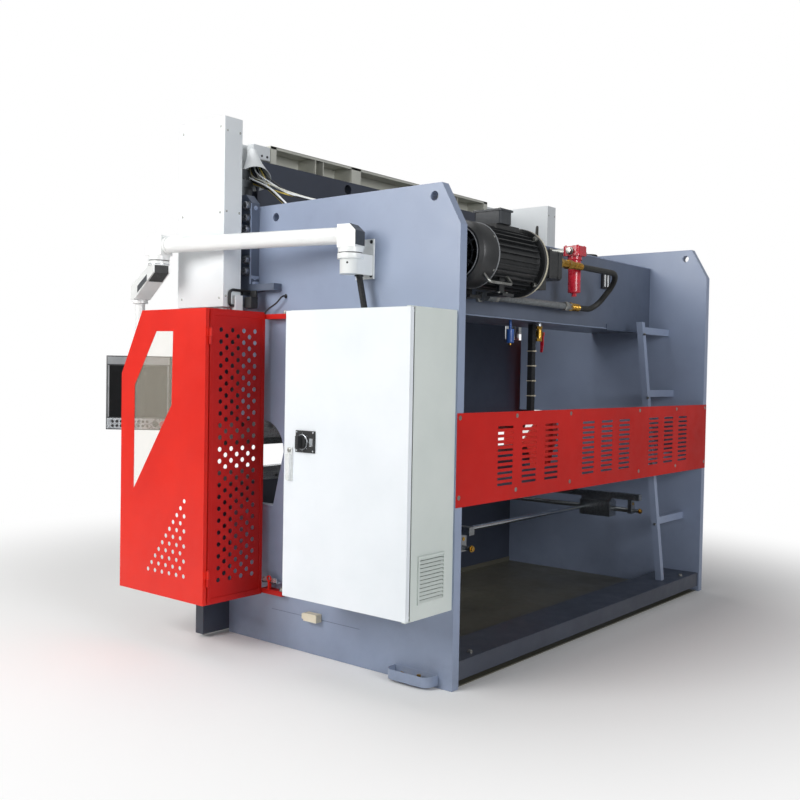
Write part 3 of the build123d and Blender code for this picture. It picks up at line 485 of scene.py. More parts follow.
# Sleeve at the junction box, and the cables that fan out of it
SLEEVE_AT = Vector((1215, -62, 2640))
SLEEVE_RUN = Vector((88, 124, -176))
CABLES = 18
LID_X, LID_Y = 1302, 758            # where the cables meet the tank's lid


def strands(which):
    """Every fourth cable. All cables are drawn in the same order each time, so that each keeps its path."""
    def build(bm):
        rnd = random.Random(31)
        L = SLEEVE_RUN.length
        d = SLEEVE_RUN.normalized()
        u = Z.cross(d).normalized()
        w = d.cross(u)
        for k in range(CABLES):
            rad = rnd.choice((3.2, 4.2, 5.5))
            a = 2 * pi * k / CABLES + rnd.uniform(-0.15, 0.15)
            side = (u * cos(a) + w * sin(a)) * rnd.uniform(0.45, 0.95)
            start = [SLEEVE_AT + d * L * 0.35 + side * 22, SLEEVE_AT + d * L * 0.98 + side * 66]
            s = rnd.uniform(-14, 14)
            if k % 3 == 2:
                far = [(1338 + s * 0.6, 350, 2352 + s), (1338 + s * 0.4, 521, 2303 + s * 0.4), (1318, 690, 2262),
                       (LID_X, LID_Y, 2236), (1300, 760, 2172)]
            else:
                far = [(1342 + s * 0.7, 225, 2385 + s), (1350 + s * 0.5, 342 + s, 2301), (1348, 395 + s, 2252),
                       (1335, 560, 2215), (1310, 720, 2200), (LID_X, LID_Y, 2190), (LID_X, 760, 2172)]
            if k % 4 == which:
                tube(bm, smooth_path(start + far, 0.42, 6), rad, 8)
    return build


piece("cable_strands_beige", "frame", WHITE_OLD, replaces=("cable_bundle",))(strands(0))
piece("cable_strands_white", "frame", WHITE)(strands(1))
piece("cable_strands_black", "frame", BLACK)(strands(2))
piece("cable_strands_yellow", "frame", YELLOW)(strands(3))


@piece("cable_sleeve", "frame", WHITE)
def cable_sleeve(bm):
    """Flared sheet, 3 mm thick, slightly wavy along its length."""
    L = SLEEVE_RUN.length
    out, back = [(0, 0), (26, 0)], []
    for i in range(16):
        t = i / 15
        rad = 28 + 56 * t ** 1.5 + (1.4 if i % 2 else 0)
        out.append((rad, 6 + (L - 6) * t))
        back.append((rad - 3, 8 + (L - 8) * t))
    lathe(bm, SLEEVE_AT, SLEEVE_RUN, out + back[::-1] + [(0, 8)], 32)


# Small things by the guide and the throat
@piece("sensor_bodies", "frame", BLACK, 2, mirror="both")
def sensor_bodies(bm):
    box(bm, 1480, 1529, 126, 176, 1814, 1832)
    box(bm, 1478, 1526, 236, 288, 1742, 1800)
    box(bm, 1478, 1490, 240, 284, 1800, 1835)


@piece("guard_switch_wire", "frame", BLACK)
def guard_switch_wire(bm):
    pts = [(1412, 435, 1805), (1446, 435, 1805), (1452, 400, 1768), (1462, 345, 1738), (1470, 322, 1706)]
    tube(bm, smooth_path(pts, 0.4, 8), 4.5, 10)
    lathe(bm, (PLATE_X, 435, 1805), X, [(0, 0), (11, 0), (11, 3), (5, 4), (0, 4)], 20)


@piece("guard_arm_bolts", "frame", ZINC, mirror="both")
def guard_arm_bolts(bm):
    for z in (1712, 292):
        lathe(bm, (1447, 462, z), Z, [(0, 0), (12, 0), (13, 1), (13, 9), (12, 10), (0, 10)], 24)
        lathe(bm, (1447, 462, z + 10), Z, nut(8, 9, 3, 2), 6)


# Side guards: frames, hinge tips and brackets
@piece("guard_rear_frame", "frame", RED_SHADED, 1, mirror="both")
def guard_rear_frame(bm):
    for x0, x1, z0, z1 in ((1466, 1486, 270, 1714), (1806, 1825, 270, 1714), (1486, 1806, 270, 292),
                           (1486, 1806, 1688, 1714)):
        box(bm, x0, x1, GUARD_Y, GUARD_Y + 3.2, z0, z1)


@piece("guard_hinge_tips_low", "frame", RED_SHADED)
def guard_hinge_tips_low(bm):
    for z in KNUCKLES:
        lathe(bm, (HINGE_X, HINGE_Y, z - 7), Z, [(0, 0), (4.5, 0), (8, 4), (8, 7), (0, 7)], 20)


@piece("guard_hinge_tips_high", "side_guard_door", RED_SHADED)
def guard_hinge_tips_high(bm):
    for z in KNUCKLES:
        lathe(bm, (HINGE_X, HINGE_Y, z + 72), Z, [(0, 0), (8, 0), (8, 3), (4.5, 7), (0, 7)], 20)


@piece("window_screws", "side_guard_door", RED)
def window_screws(bm):
    for y, z in ((-66, 1619), (84, 1617), (80, 1236), (-60, 1035), (-180, 860), (-245, 780), (-246, 1050),
                 (-247, 1338), (-160, 1482)):
        lathe(bm, (1853.6, y, z), X, [(0, 0), (5, 0), (4.6, 0.9), (3, 1.3), (0, 1.4)], 16)


@piece("side_guard_lips", "side_guard_door", RED)
def side_guard_lips(bm):
    for y0, y1, z0, z1 in ((-349, -346, 265, 1390), (-345, 296, 262, 265), (-176, 296, 1719, 1722)):
        box(bm, 1830, 1852, y0, y1, z0, z1)


@piece("guard_switch_bracket", "frame", SILVER, 1)
def guard_switch_bracket(bm):
    box(bm, 1428, 1462, 334, 438, 325, 331)
    box(bm, 1456, 1462, 334, 438, 325, 353)
    for y in (352, 420):
        hexagon(bm, (1446, y, 331), Z, 7, 8)


@piece("guard_ring_lug", "frame", RED)
def guard_ring_lug(bm):
    torus(bm, (1466, 388, 348), X, 13, 4.5, 28)
    box(bm, 1455, 1470, 382, 394, 292, 336)


# Motor, pump and lines
def around(r, angle):
    """Y and Z of a point round the motor's axis."""
    a = radians(angle)
    return MOTOR_Y + r * cos(a), MOTOR_Z + r * sin(a)


@piece("motor_fasteners", "frame", ZINC)
def motor_fasteners(bm):
    for a in (45, 135, 225, 315):
        hexagon(bm, (680, *around(163, a)), X, 11, 11)
    for a in (30, 90, 150, 210, 270, 330):
        pan(bm, (1082, *around(158, a)), (0, cos(radians(a)), sin(radians(a))), 6)
    for x in (846, 944):
        for y in (1274, 1417):
            pan(bm, (x, y, 2231), Z, 6.5)
    for x in (925, 990):
        for y in (1240, 1450):
            hexagon(bm, (x, y, 1814), Z, 9, 9)


@piece("cowl_rings", "frame", GREY_RING)
def cowl_rings(bm):
    torus(bm, (1199, MOTOR_Y, MOTOR_Z), X, 124, 3.2, 64)
    lathe(bm, (1063, MOTOR_Y, MOTOR_Z), X,
          [(158.2, 0), (160.5, 1), (160.5, 7), (158.2, 8), (157, 4), (158.2, 0)], 64)


@piece("flange_ring", "frame", CREAM_RING)
def flange_ring(bm):
    lathe(bm, (643, MOTOR_Y, MOTOR_Z), X,
          [(130, 0), (172, 0), (175, 3), (175, 14), (172, 17), (130, 17), (130, 0)], 64)


@piece("cooling_fan", "frame", BLACK)
def cooling_fan(bm):
    lathe(bm, (1100, MOTOR_Y, MOTOR_Z), X, [(0, 0), (40, 0), (40, 40), (30, 52), (0, 52)], 32)
    lathe(bm, (1106, MOTOR_Y, MOTOR_Z), X, [(40, 0), (140, 0), (140, 4), (40, 4)], 48)
    for i in range(9):
        M = Matrix.Translation(vec(1110, MOTOR_Y, MOTOR_Z)) @ Matrix.Rotation(2 * pi * i / 9, 4, "X")
        box(bm, 0, 52, -2.5, 2.5, 38, 138, M)


@piece("motor_carry_handle", "frame", ZINC)
def motor_carry_handle(bm):
    pts = [(1140, 1462, 1898), (1140, 1496, 1856), (940, 1496, 1856), (940, 1462, 1898)]
    tube(bm, smooth_path(pts, 0.4, 6), 8)


@piece("pump_covers", "frame", BLACK_CAST, 1)
def pump_covers(bm):
    for a in (45, 135, 225, 315):
        socket(bm, (544, *around(100, a)), -X, 9, 10)
    box(bm, 330, 352, 1283, 1407, 1940, 2082)
    box(bm, 430, 448, 1281, 1409, 1936, 2086)
    for y in (1300, 1390):
        for z in (1950, 2070):
            socket(bm, (310, y, z), -X, 8, 9)
    lathe(bm, (310, MOTOR_Y, MOTOR_Z - 5), -X, nut(38, 20, 8, 6))


def ribs(r, root):
    """Eight crimped rings on a ferrule, as a profile without its ends."""
    out = []
    for i in range(8):
        h = i * 11
        out += [(r, 4 + h), (r, 9 + h), (root, 11 + h), (root, 14 + h)]
    return out


@piece("hose_ferrules", "frame", BRASS)
def hose_ferrules(bm):
    lathe(bm, (306, HOSE_Y0, HOSE_Z0), -X, nut(29, 27), 6)
    lathe(bm, (214, HOSE_Y0, HOSE_Z0), -X, nut(28, 29), 6)
    lathe(bm, (142, HOSE_Y0, HOSE_Z0), -X, [(0, 0), (19, 0), *ribs(20.5, 18.6), (0, 96)], 28)
    lathe(bm, (-243, HOSE_Y1, HOSE_Z1), X, [(0, 0), (21.5, 0), *ribs(22.5, 20.8), (0, 97)], 28)
    lathe(bm, (-146, HOSE_Y1, HOSE_Z1), X, nut(28, 27), 6)


@piece("loop_hose_ferrules", "frame", BRASS)
def loop_hose_ferrules(bm):
    lathe(bm, (450, 1330, 2106), Z, nut(17, 17, 3), 6)
    lathe(bm, (450, 1330, 2123), Z, [(0, 0), (10, 0), (11, 3), (11, 36), (9.5, 38), (0, 38)], 20)
    lathe(bm, (300, 1132, 2015), Y, [(0, 0), (16, 0), (16, 14), (0, 16)], 6)
    lathe(bm, (300, 1146, 2015), Y, [(0, 0), (10.5, 0), (10.5, 28), (9, 30), (0, 30)], 20)


@piece("return_pipe_nuts", "frame", ZINC)
def return_pipe_nuts(bm):
    lathe(bm, (-96, HOSE_Y1, HOSE_Z1), X, nut(29, 25), 6)
    lathe(bm, (655, HOSE_Y1, HOSE_Z1), -X, nut(29, 25), 6)
    lathe(bm, (700, TANK_Y1 + 1, HOSE_Z1), Y, nut(30, 18, 4, 2), 6)


@piece("filter_unions", "frame", ZINC, 0.8)
def filter_unions(bm):
    z = 2132
    lathe(bm, (-79, FILTER_Y, z), -X,
          [(0, 0), (29, 0), (29, 10), (26, 14), (15, 44), (15, 60), (12, 72), (0, 72)], 28)
    lathe(bm, (20, FILTER_Y, z), X, [(0, 0), (24, 0), (24, 10), (18, 12), (18, 28), (0, 30)], 6)
    lathe(bm, (FILTER_X, 1133, z), Y, plug(34, 8), 6)
    lathe(bm, (FILTER_X, 1145, z), Y, plug(23, 88), 24)


@piece("filter_trim", "frame", CRIMSON)
def filter_trim(bm):
    torus(bm, (FILTER_X, FILTER_Y, 2084), Z, 40, 3, 40, 8)
    for dx, dy in ((-38, -38), (38, -38), (38, 38), (-38, 38)):
        socket(bm, (FILTER_X + dx, FILTER_Y + dy, 2160), Z, 6, 6)
    lathe(bm, (FILTER_X, FILTER_Y, 2160), Z, [(0, 0), (22, 0), (22, 5), (16, 8), (0, 8)], 28)


@piece("level_gauge_glasses", "frame", WHITE_GLOSS, 2)
def level_gauge_glasses(bm):
    for x in (-733, -693):
        box(bm, x, x + 16, 1140, 1147, 1991, 2070)


@piece("tank_lid", "frame", SLATE, 1)
def tank_lid(bm):
    box(bm, -1340, 1340, TANK_Y0 + 22, TANK_Y1 - 22, TANK_Z1, TANK_Z1 + 5)
    for i in range(14):
        x = -1310 + i * 2620 / 13
        for y in (TANK_Y0 + 34, TANK_Y1 - 34):
            hexagon(bm, (x, y, TANK_Z1 + 5), Z, 7, 7)


@piece("tank_weld_beads", "frame", SLATE)
def tank_weld_beads(bm):
    for z in (TANK_Z0 + 0.5, TANK_Z1 - 0.5):
        tube(bm, [(x, TANK_Y1 + 0.5, z + 0.5 * sin(x * 0.9) + 0.4 * sin(x * 2.3)) for x in range(-1366, 1367, 26)],
             3.2, 8)


# Things under the tank
@piece("duct_ties", "frame", CREAM, 1)
def duct_ties(bm):
    for z in (1568, 1479, 1389, 1299):
        box(bm, -162, -114, 930, 972, z - 3, z + 3)
        box(bm, -146, -134, 970, 978, z - 5, z + 5)


@piece("duct_end_plug", "frame", CRIMSON)
def duct_end_plug(bm):
    lathe(bm, (-138, 950, 1178), Z, [(0, 0), (12, 0), (16, 6), (16, 22), (0, 22)], 20)


@piece("canister_drain", "frame", BRASS)
def canister_drain(bm):
    lathe(bm, (290, 1070, 1588), Z, [(0, 0), (7, 0), (9, 3), (9, 14), (0, 14)], 16)


@piece("valve_stem", "frame", SILVER)
def valve_stem(bm):
    lathe(bm, (-20, 1070, 1700), Z, plug(15, 30), 20)
    lathe(bm, (-74, 1070, 1666), -X, [(0, 0), (7, 0), (7, 5), (0, 6)], 6)


# Pendant arm and controller, mostly built in frames of their own
def turned_about_z(x, y, angle):
    return Matrix.Translation(vec(x, y, 0)) @ Matrix.Rotation(angle, 4, "Z")


ARM_M = turned_about_z(ARM_X, ARM_Y, radians(-77.5))
NECK_M = turned_about_z(NECK_X, NECK_Y, atan2(TUBE_Y - NECK_Y, TUBE_X - NECK_X))
HEAD_M = turned_about_z(TUBE_X, TUBE_Y, radians(39.2))


@piece("arm_collars", "pendant_arm", ARM, 0.6, at=ARM_M)
def arm_collars(bm):
    for x in (49, 1082):
        lathe(bm, (x, 0, 2062), X, [(40, 0), (43.5, 0), (45, 2), (45, 13), (43.5, 16), (40, 16)], 48)
    lathe(bm, (0, 0, 2002), Z, ring(58, 61.5, 3), 56)


@piece("arm_end_cap", "pendant_arm", GREY_CAST, 0.8, at=ARM_M)
def arm_end_cap(bm):
    prism(bm, [(-18, 2111), (-16, 2113), (-50.5, 2080), (-50.5, 2014), (-48.5, 2014), (-48.5, 2078)], "y", -43, 43)


@piece("arm_joint_gap_rings", "pendant_arm", BLACK)
def arm_joint_gap_rings(bm):
    lathe(bm, (NECK_X, NECK_Y, 1980.6), Z, ring(20.5, 50, 3.6), 48)
    lathe(bm, (ARM_X, ARM_Y, 1975.6), Z, ring(20.5, 56, 3.8), 48)


@piece("bracket_screws", "frame", BLACK)
def bracket_screws(bm):
    for z in (2040, 1880):
        for y in (1019, 935):
            lathe(bm, (1430, y, z), X, [(0, 0), (9, 0), (9, 1.6), (5.5, 2), (5.2, 0.4), (0, 0.4)], 20)
    for a in (radians(25), radians(155)):
        lathe(bm, (ARM_X + 49.6 * cos(a), ARM_Y + 49.6 * sin(a), 1930), (cos(a), sin(a), 0), plug(5, 1.2), 14)


@piece("corrugated_conduit", "frame", BLACK, replaces=("conduit",))
def corrugated_conduit(bm):
    """Leans forward as it rises."""
    low, high = Vector((1482, 1031.9, 1700)), Vector((1482, 988.4, 1884))
    L, n = (high - low).length, 30
    profile = [(0, 0)]
    for i in range(n):
        h = L * i / n
        profile += [(13.4, h), (15.6, h + L / n * 0.25), (15.6, h + L / n * 0.6), (13.4, h + L / n * 0.85)]
    lathe(bm, low, high - low, profile + [(13.4, L), (0, L)], 24)
    lathe(bm, (1482, 1031, CAB_TOP), Z, nut(24, 13), 6)
    lathe(bm, (1482, 989, 1880), -Z, plug(21, 7), 20)


@piece("neck_inserts", "pendant_head", GREY_CAST, 0.4, at=NECK_M)
def neck_inserts(bm):
    for y0, y1 in ((44, 45.4), (-45.4, -44)):
        prism(bm, [(70, 1916), (255, 1868), (255, 1832), (70, 1884)], "y", y0, y1)


@piece("neck_end_cap", "pendant_head", BLACK, 0.5, at=NECK_M)
def neck_end_cap(bm):
    prism(bm, [(-48, 1956), (-50, 1956), (-50, 1915.5), (62, 1878.5), (62, 1881), (-48, 1918)], "y", -36, 36)


@piece("neck_collars", "pendant_head", SILVER, 0.4)
def neck_collars(bm):
    lathe(bm, (NECK_X, NECK_Y, 1962), Z, ring(53, 55.5, 4), 48)
    for z in (1790, 1560):
        lathe(bm, (TUBE_X, TUBE_Y, z), Z, [(25, 0), (30, 0), (31, 2), (31, 12), (30, 14), (25, 14)], 40)
    for a in (radians(20), radians(140), radians(260)):
        lathe(bm, (TUBE_X + 40 * cos(a), TUBE_Y + 40 * sin(a), 1502), (cos(a), sin(a), 0), plug(4, 2), 12)


@piece("controller_top_strip", "pendant_head", GREY_RING, 0.6, at=HEAD_M)
def controller_top_strip(bm):
    box(bm, 22.5, 24.5, -172, 172, 1443, 1484)
    for y in (-168, 160):
        box(bm, 22.5, 24, y, y + 8, 1151, 1437)


@piece("controller_screen", "pendant_head", SCREEN, 0.5, at=HEAD_M)
def controller_screen(bm):
    box(bm, 19.6, 21.4, -161, 161, 1151, 1436)


@piece("controller_base_strip", "pendant_head", SILVER, 0.8, at=HEAD_M)
def controller_base_strip(bm):
    box(bm, 22.5, 26, -172, 172, 1087, 1144)


@piece("controller_keys", "pendant_head", BLACK, at=HEAD_M)
def controller_keys(bm):
    for i in range(9):
        for z in (1127, 1103):
            lathe(bm, (26, -140 + i * 24, z), X, nut(7.5, 3.4, 1, 0.8), 20)
    lathe(bm, (26, 96, 1115), X, [(0, 0), (15, 0), (15, 4), (11, 5), (11, 13), (9, 15), (0, 15)], 28)


@piece("controller_stop_button", "pendant_head", CRIMSON, at=HEAD_M)
def controller_stop_button(bm):
    lathe(bm, (26, 144, 1115), X, [(0, 0), (12, 0), (12, 9), (19, 10), (19, 17), (15, 21), (0, 22)], 32)


@piece("controller_back_vents", "pendant_head", BLACK, at=HEAD_M)
def controller_back_vents(bm):
    for i in range(12):
        z = 1180 + i * 14
        box(bm, -73.6, -72.4, -110, 110, z, z + 6)
    for y in (-165, 165):
        for z in (1100, 1470):
            pan(bm, (-72.5, y, z), -X, 4.5)


# Electrical cabinet
# The vent frame takes the darker cabinet paint: painted shade.
@piece("cabinet_vent_frame", "frame", CAB_SHADED, 0.5)
def cabinet_vent_frame(bm):
    for x0, x1, z0, z1 in ((1487, 1674, 432, 440), (1487, 1674, 632, 640), (1487, 1495, 440, 632),
                           (1666, 1674, 440, 632)):
        box(bm, x0, x1, CAB_Y, CAB_Y + 8, z0, z1)
    for i in range(12):
        z = 440 + 17 * i
        prism(bm, [(CAB_Y - 0.5, z + 7), (CAB_Y - 0.5, z + 8.5), (CAB_Y + 8, z - 3), (CAB_Y + 7, z - 4)],
              "x", 1495, 1666)


# Black strip round the door: the door gasket, and painted shade in the gap between door and cabinet.
@piece("cabinet_gasket_and_gap_shade", "frame", BLACK)
def cabinet_gasket_and_gap_shade(bm):
    for y0, y1, z0, z1 in ((783, 1517, 371.5, 381), (783, 1517, 1690, 1699.5), (783, 793, 381, 1690),
                           (1507, 1517, 392, 1679)):
        box(bm, 1719.2, 1723.6, y0, y1, z0, z1)


@piece("cabinet_screws", "frame", ZINC)
def cabinet_screws(bm):
    for y in (820, 1150, 1480):
        for x in (1450, 1690):
            pan(bm, (x, y, CAB_TOP), Z, 5)


@piece("switch_marks", "cabinet_door", SILVER)
def switch_marks(bm):
    for y in (869, 972):
        for z in (1058, 1142):
            pan(bm, (1758, y, z), X, 4)
    torus(bm, (1762, SWITCH_Y, SWITCH_Z), X, 34, 1.6, 40, 8)
    for k in range(8):
        y, z = SWITCH_Y + 40 * cos(k * pi / 4), SWITCH_Z + 40 * sin(k * pi / 4)
        box(bm, 1758, 1758.8, y - 1.2, y + 1.2, z - 2.5, z + 2.5)
    box(bm, 1758, 1759.2, 950, 970, 1080, 1116)


@piece("handle_lock", "cabinet_door", ZINC)
def handle_lock(bm):
    lathe(bm, (1756, 820, 1056), X, nut(10, 5, 2, 1), 24)
    box(bm, 1761, 1761.8, 818.8, 821.2, 1050, 1062)


# Trim low down, and fasteners of the working parts
@piece("rear_guard_screws", "frame", ZINC)
def rear_guard_screws(bm):
    for x in (-1397, -940, -416, 402, 926, 1397):
        for z in (868, 1226):
            lathe(bm, (x, 1531.2, z), Y, plug(11, 0.7), 20)
            lathe(bm, (x, 1531.9, z), Y, [(0, 0), (7, 0), (6.4, 0.8), (2.2, 1.1), (2, 0.3), (0, 0.3)], 16)


@piece("tray_fittings", "frame", BRASS)
def tray_fittings(bm):
    rnd = random.Random(12)
    lathe(bm, (1440, 1250, 29), (0.2, 1, 0), [(0, 0), (12, 0), (12, 16), (8, 17), (8, 40), (0, 40)], 6)
    lathe(bm, (1462, 1320, 27), (1, 0.5, 0), [(0, 0), (10, 0), (10, 14), (6, 15), (6, 32), (0, 32)], 6)
    lathe(bm, (1450, 1365, 17), Z, [(0, 0), (15, 0), (15, 10), (10, 11), (10, 34), (0, 34)], 24)
    lathe(bm, (1472, 1408, 29), (-0.6, 1, 0), [(0, 0), (11, 0), (11, 12), (7, 13), (7, 26), (0, 26)], 6)
    for i in range(7):
        a = rnd.uniform(0, 3.1)
        x, y = rnd.uniform(1438, 1480), rnd.uniform(1225, 1420)
        lathe(bm, (x, y, 22), (cos(a), sin(a), 0), plug(5, 18), 12)


@piece("low_seam", "frame", SLATE_SHADED)
def low_seam(bm):
    box(bm, PLATE_X, PLATE_X + 0.8, 365, 975, 181, 183)


@piece("sill_bolts", "frame", ZINC)
def sill_bolts(bm):
    for x in (-1200, 1200):
        hexagon(bm, (x, 1472, 122), Z, 11, 11)


@piece("die_screws", "frame", BLACK_CAST)
def die_screws(bm):
    for i in range(16):
        for s in (1, -1):
            socket(bm, (-1500 + i * 200, 45 * s, 832), Y * s, 8, 5)


@piece("clamp_screws", "ram", ZINC)
def clamp_screws(bm):
    for i in range(15):
        x = (i + 0.5) * 3200 / 15 - 1600
        for dx in (-32, 32):
            for s in (1, -1):
                hexagon(bm, (x + dx, 48 * s, 1123), Y * s, 11, 8)


@piece("cylinder_screws", "frame", BLACK_CAST, mirror="both")
def cylinder_screws(bm):
    for k in range(12):
        a = 2 * pi * k / 12
        socket(bm, (1393 + 78 * cos(a), 78 * sin(a), 2440), Z, 9, 10)


@piece("spindle_end_nuts", "frame", BRASS, mirror="both")
def spindle_end_nuts(bm):
    lathe(bm, (950, 1290, 552), Y, [(0, 0), (17, 0), (17, 8), (12, 9), (12, 16), (0, 16)], 24)
    lathe(bm, (950, 1242, 596), Y, plug(10, 5), 16)


@piece("ladder_bolts", "frame", ZINC)
def ladder_bolts(bm):
    for y, z in ((1398, 480), (1366, 870), (1330, 1290), (1296, 1700)):
        lathe(bm, (-955, y, z), X, nut(9, 6, 2, 1), 6)


@piece("filler_grip", "frame", BLACK)
def filler_grip(bm):
    torus(bm, (FILLER_X, FILLER_Y, 2227), Z, 46, 3, 40, 8)
    for k in range(18):
        a = 2 * pi * k / 18
        lathe(bm, (FILLER_X + 53.5 * cos(a), FILLER_Y + 53.5 * sin(a), 2192), Z, plug(2.2, 32), 8)


@piece("sensor_strip", "frame", BLACK, mirror="both")
def sensor_strip(bm):
    tube(bm, smooth_path([(1476, 222, 1833), (1612, 222, 1833), (1612, 222, 1752), (1560, 222, 1752)], 0.3, 8), 7)


@piece("sensor_block", "frame", WHITE, 2, mirror="both")
def sensor_block(bm):
    box(bm, 1536, 1586, 212, 238, 1728, 1806)


# Sheets with holes, at the spacing of the holes in the photograph
def rectangle(x0, x1, z0, z1):
    return [(x0, z0), (x1, z0), (x1, z1), (x0, z1)]


def holed_sheet(bm, outline, circles, cuts, thick, M):
    """Flat sheet with round and cut-out openings, filled as a flat curve and placed by M.

    It is the first thing built in its piece, because M moves all that the bmesh holds.
    """
    curve = bpy.data.curves.new("sheet", "CURVE")
    curve.dimensions = "2D"
    curve.fill_mode = "BOTH"
    curve.extrude = thick / 2000
    rounds = [[(a + r * cos(pi * k / 9), b + r * sin(pi * k / 9)) for k in range(18)] for a, b, r in circles]
    for pts in [outline, *cuts, *rounds]:
        spline = curve.splines.new("POLY")
        spline.points.add(len(pts) - 1)
        for point, (a, b) in zip(spline.points, pts):
            point.co = (a / 1000, b / 1000, 0, 1)
        spline.use_cyclic_u = True
    ob = bpy.data.objects.new("sheet", curve)
    bpy.context.scene.collection.objects.link(ob)
    me = bpy.data.meshes.new_from_object(ob.evaluated_get(bpy.context.evaluated_depsgraph_get()))
    bm.from_mesh(me)
    for v in bm.verts:
        v.co = M @ v.co
    bpy.data.objects.remove(ob)
    bpy.data.curves.remove(curve)
    bpy.data.meshes.remove(me)


def facing_rear(y):
    """Stands a sheet in the X and Z plane, with its middle at y."""
    return Matrix(((1, 0, 0, 0), (0, 0, -1, y / 1000), (0, 1, 0, 0), (0, 0, 0, 1)))


def facing_side(x):
    """Stands a sheet in the Y and Z plane, with its middle at x."""
    return Matrix(((0, 0, 1, x / 1000), (1, 0, 0, 0), (0, 1, 0, 0), (0, 0, 0, 1)))


BACK_HOLES = [(1756 - 37.2 * c, 1620 - 29.6 * k, 12) for k in range(43) for c in range(k % 2, 7, 2)]
# A triangle of holes, one less in every second column
SIDE_HOLES = [(180 - 28.75 * j, 387 + 37.7 * (j % 2) + 75.4 * k, 11) for j in range(11)
              for k in range(6 - j % 2 - j // 2)]
PANE = [(-58, 1613), (77, 1611), (71, 1240), (-239, 793), (-238, 1336)]


def guard_back(hinged):
    x0, x1, z0, z1 = GUARD_X0, GUARD_X1 if hinged else 1832, GUARD_Z0, GUARD_Z1

    def build(bm):
        holed_sheet(bm, rectangle(x0, x1, z0, z1), BACK_HOLES, [], 2, facing_rear(GUARD_Y - 1))
        for a, b, c, d in ((x0, x0 + 3, z0, z1), (x1 - 3, x1, z0, z1), (x0 + 3, x1 - 3, z0, z0 + 3),
                           (x0 + 3, x1 - 3, z1 - 3, z1)):
            box(bm, a, b, 300, 328, c, d)
        for z in (267, 1687):
            box(bm, PLATE_X, x0, 325, 480, z, z + 25)
        if hinged:
            for z in KNUCKLES:
                lathe(bm, (HINGE_X, HINGE_Y, z), Z, plug(8, 35), 24)
                lathe(bm, (HINGE_X, HINGE_Y, z + 35), Z, plug(3.9, 37), 16)
                box(bm, 1811, x1, 330, 336, z, z + 35)
    return build


def guard_side(hinged):
    outline = [(GUARD_Y, GUARD_Z0), (GUARD_Y, GUARD_Z1), (-179, GUARD_Z1), (-352, 1395), (-352, GUARD_Z0)]

    def build(bm):
        holed_sheet(bm, outline, SIDE_HOLES, [PANE], 1.6, facing_side(1852.8))
        box(bm, 1832, 1852, GUARD_Y - 3, GUARD_Y, GUARD_Z0, GUARD_Z1)
        if hinged:
            for z in KNUCKLES:
                box(bm, 1833, 1849, 330, 336, z + 36, z + 72)
                lathe(bm, (HINGE_X, HINGE_Y, z + 36), Z, ring(4.05, 8, 36), 24)
    return build


# The rear sheets of the side guards take the darker red: painted shade.
piece("guard_back_sheet", "frame", RED_SHADED, replaces=("side_guard_rear",))(guard_back(True))
piece("guard_side_sheet", "side_guard_door", RED, replaces=("side_guard_door",))(guard_side(True))
piece("guard_back_sheet_left", "frame", RED_SHADED, replaces=("side_guard_rear_left",),
      mirror="flip")(guard_back(False))
piece("guard_side_sheet_left", "frame", RED, replaces=("side_guard_panel_left",),
      mirror="flip")(guard_side(False))


# The rear guard takes the darker red: painted shade.
@piece("rear_guard_sheet", "frame", RED_SHADED, replaces=("rear_guard",))
def rear_guard_sheet(bm):
    """Thinner than the solid, so that its screws stay inside the solid's box."""
    cuts = []
    for group in (-1, 0, 1):
        for column in (-1, 0, 1):
            x = group * 817 - 7 + column * 214
            for k in range(11):
                z = 902 + 27.1 * k
                cuts.append(rectangle(x - 65, x + 65, z - 6, z + 6))
    holed_sheet(bm, rectangle(-PLATE_X, PLATE_X, 824, 1247), [], cuts, 1.2, facing_rear(1530.6))


# Duct and pressure hose at their width in the photograph
@piece("slim_duct", "frame", DUCT, 2, replaces=("cable_duct",))
def slim_duct(bm):
    box(bm, -158, -118, 934, 966, 1200, TANK_Z0)
    for i in range(21):
        z = 1212 + i * 24
        box(bm, -154, -122, 966, 968, z, z + 11)


@piece("thick_hose", "frame", RUBBER, replaces=("pressure_hose",))
def thick_hose(bm):
    pts = [(70, HOSE_Y0, HOSE_Z0), (HOSE_END, HOSE_Y0, HOSE_Z0), (HOSE_END, HOSE_Y1, HOSE_Z1), (-249, HOSE_Y1, HOSE_Z1)]
    tube(bm, smooth_path(pts, 0.45, 14), 17, 20)


# Camera, solved from the photograph's straight edges, in metres and degrees
scene = bpy.context.scene
CAMERA_AT = Vector((4.927, 4.062, 1.420))
YAW, PITCH, ROLL = radians(39.20), radians(-1.57), radians(1.02)
ahead = Vector((-cos(YAW) * cos(PITCH), -sin(YAW) * cos(PITCH), sin(PITCH)))
level = ahead.cross(Z).normalized()
upright = level.cross(ahead)
right = level * cos(ROLL) + upright * sin(ROLL)
up = upright * cos(ROLL) - level * sin(ROLL)
cam = bpy.data.objects.new("camera", bpy.data.cameras.new("camera"))
cam.data.sensor_width = 36
cam.data.lens = 43.85
cam.data.clip_start = 0.05
cam.data.clip_end = 100
cam.matrix_world = Matrix((right, up, -ahead)).transposed().to_4x4()
cam.location = CAMERA_AT
scene.collection.objects.link(cam)
scene.camera = cam
scene.view_settings.view_transform = "Standard"

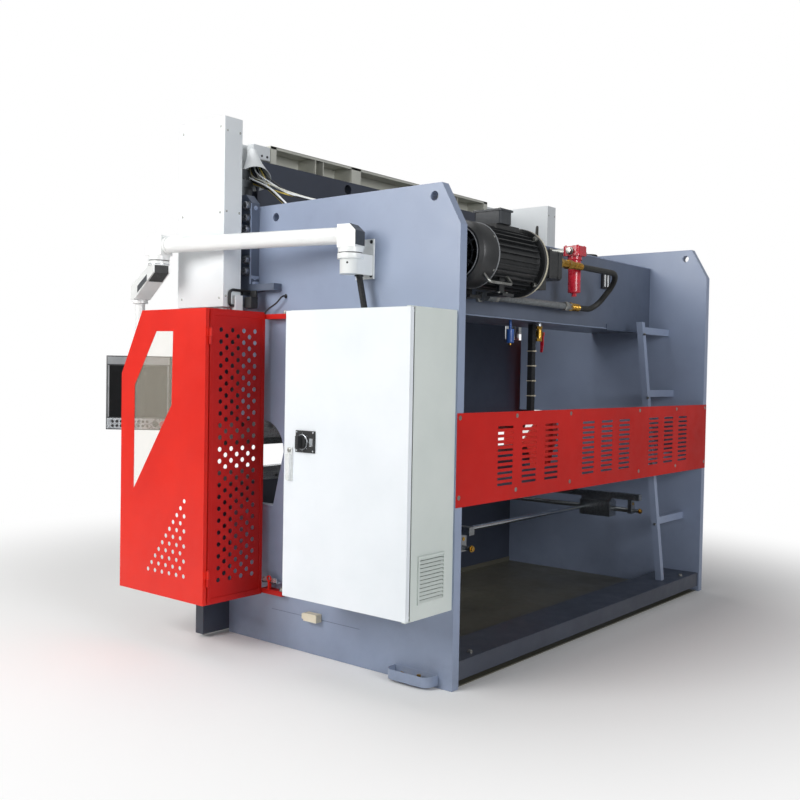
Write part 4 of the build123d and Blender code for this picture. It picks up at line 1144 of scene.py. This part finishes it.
# White for the camera and through glass, dimmer in reflections and dim as a light
WORLD_LIGHT, WORLD_GLOSS = 0.17, 0.3
scene.world = bpy.data.worlds.new("studio")
t = Tree(scene.world)
ray = t.nodes.new("ShaderNodeLightPath").outputs
seen = t.math("MAXIMUM", ray["Is Camera Ray"], t.math("MULTIPLY", ray["Is Glossy Ray"], WORLD_GLOSS))
seen = t.math("MAXIMUM", seen, ray["Is Transmission Ray"])
strength = t.add("MapRange", "Result", {"Value": seen, "To Min": WORLD_LIGHT, "To Max": 1.0})
t.set(t.nodes["Background"], {"Strength": strength, "Color": (1, 1, 1, 1)})


def lamp(name, at, target, size, power, color=(1, 1, 1)):
    light = bpy.data.lights.new(name, "AREA")
    light.shape = "RECTANGLE"
    light.size, light.size_y = size
    light.energy = power
    light.color = color
    ob = bpy.data.objects.new(name, light)
    ob.location = at
    ob.rotation_euler = (Vector(target) - Vector(at)).to_track_quat("-Z", "Y").to_euler()
    scene.collection.objects.link(ob)


lamp("key", (7.6, -1.1, 4.2), (0.8, 0.3, 1.2), (4.2, 3.4), 408, (1, 0.99, 0.97))
lamp("fill_rear", (3.0, 8.8, 3.3), (0.0, 0.8, 1.2), (3.4, 3), 300, (0.97, 0.98, 1))
lamp("top", (1.4, -0.8, 7.0), (1.0, 0.2, 0), (4, 4), 110)
lamp("front", (-3.5, -7.0, 4.0), (0, 0, 1.2), (5, 4), 180)

# Pale floor that takes the shadow and fades to white for the camera between two distances from the origin
FADE_FROM, FADE_TO = 1.9, 4.3
FLOOR_HALF, FLOOR_Z = 30.0, -0.001
floor_mat = bpy.data.materials.new("studio_floor")
t = Tree(floor_mat)
paint = t.nodes["Principled BSDF"]
t.set(paint, {"Base Color": (0.86, 0.86, 0.86, 1), "Roughness": 0.9, "Specular IOR Level": 0.1})
away = t.add("VectorMath", "Value", {0: t.add("NewGeometry", "Position", {})}, operation="LENGTH")
fade = t.add("MapRange", "Result", {"Value": away, "From Min": FADE_FROM, "From Max": FADE_TO},
             interpolation_type="SMOOTHSTEP")
share = t.math("MULTIPLY", fade, t.add("LightPath", "Is Camera Ray", {}))
white = t.add("Emission", "Emission", {"Strength": 1.0})
mixed = t.add("MixShader", "Shader", {0: share, 1: paint.outputs["BSDF"], 2: white})
t.set(t.nodes["Material Output"], {"Surface": mixed})
me = bpy.data.meshes.new("studio_floor")
S = FLOOR_HALF
me.from_pydata([(-S, -S, 0), (S, -S, 0), (S, S, 0), (-S, S, 0)], [], [(0, 1, 2, 3)])
me.materials.append(floor_mat)
floor = bpy.data.objects.new("studio_floor", me)
floor.location.z = FLOOR_Z
scene.collection.objects.link(floor)
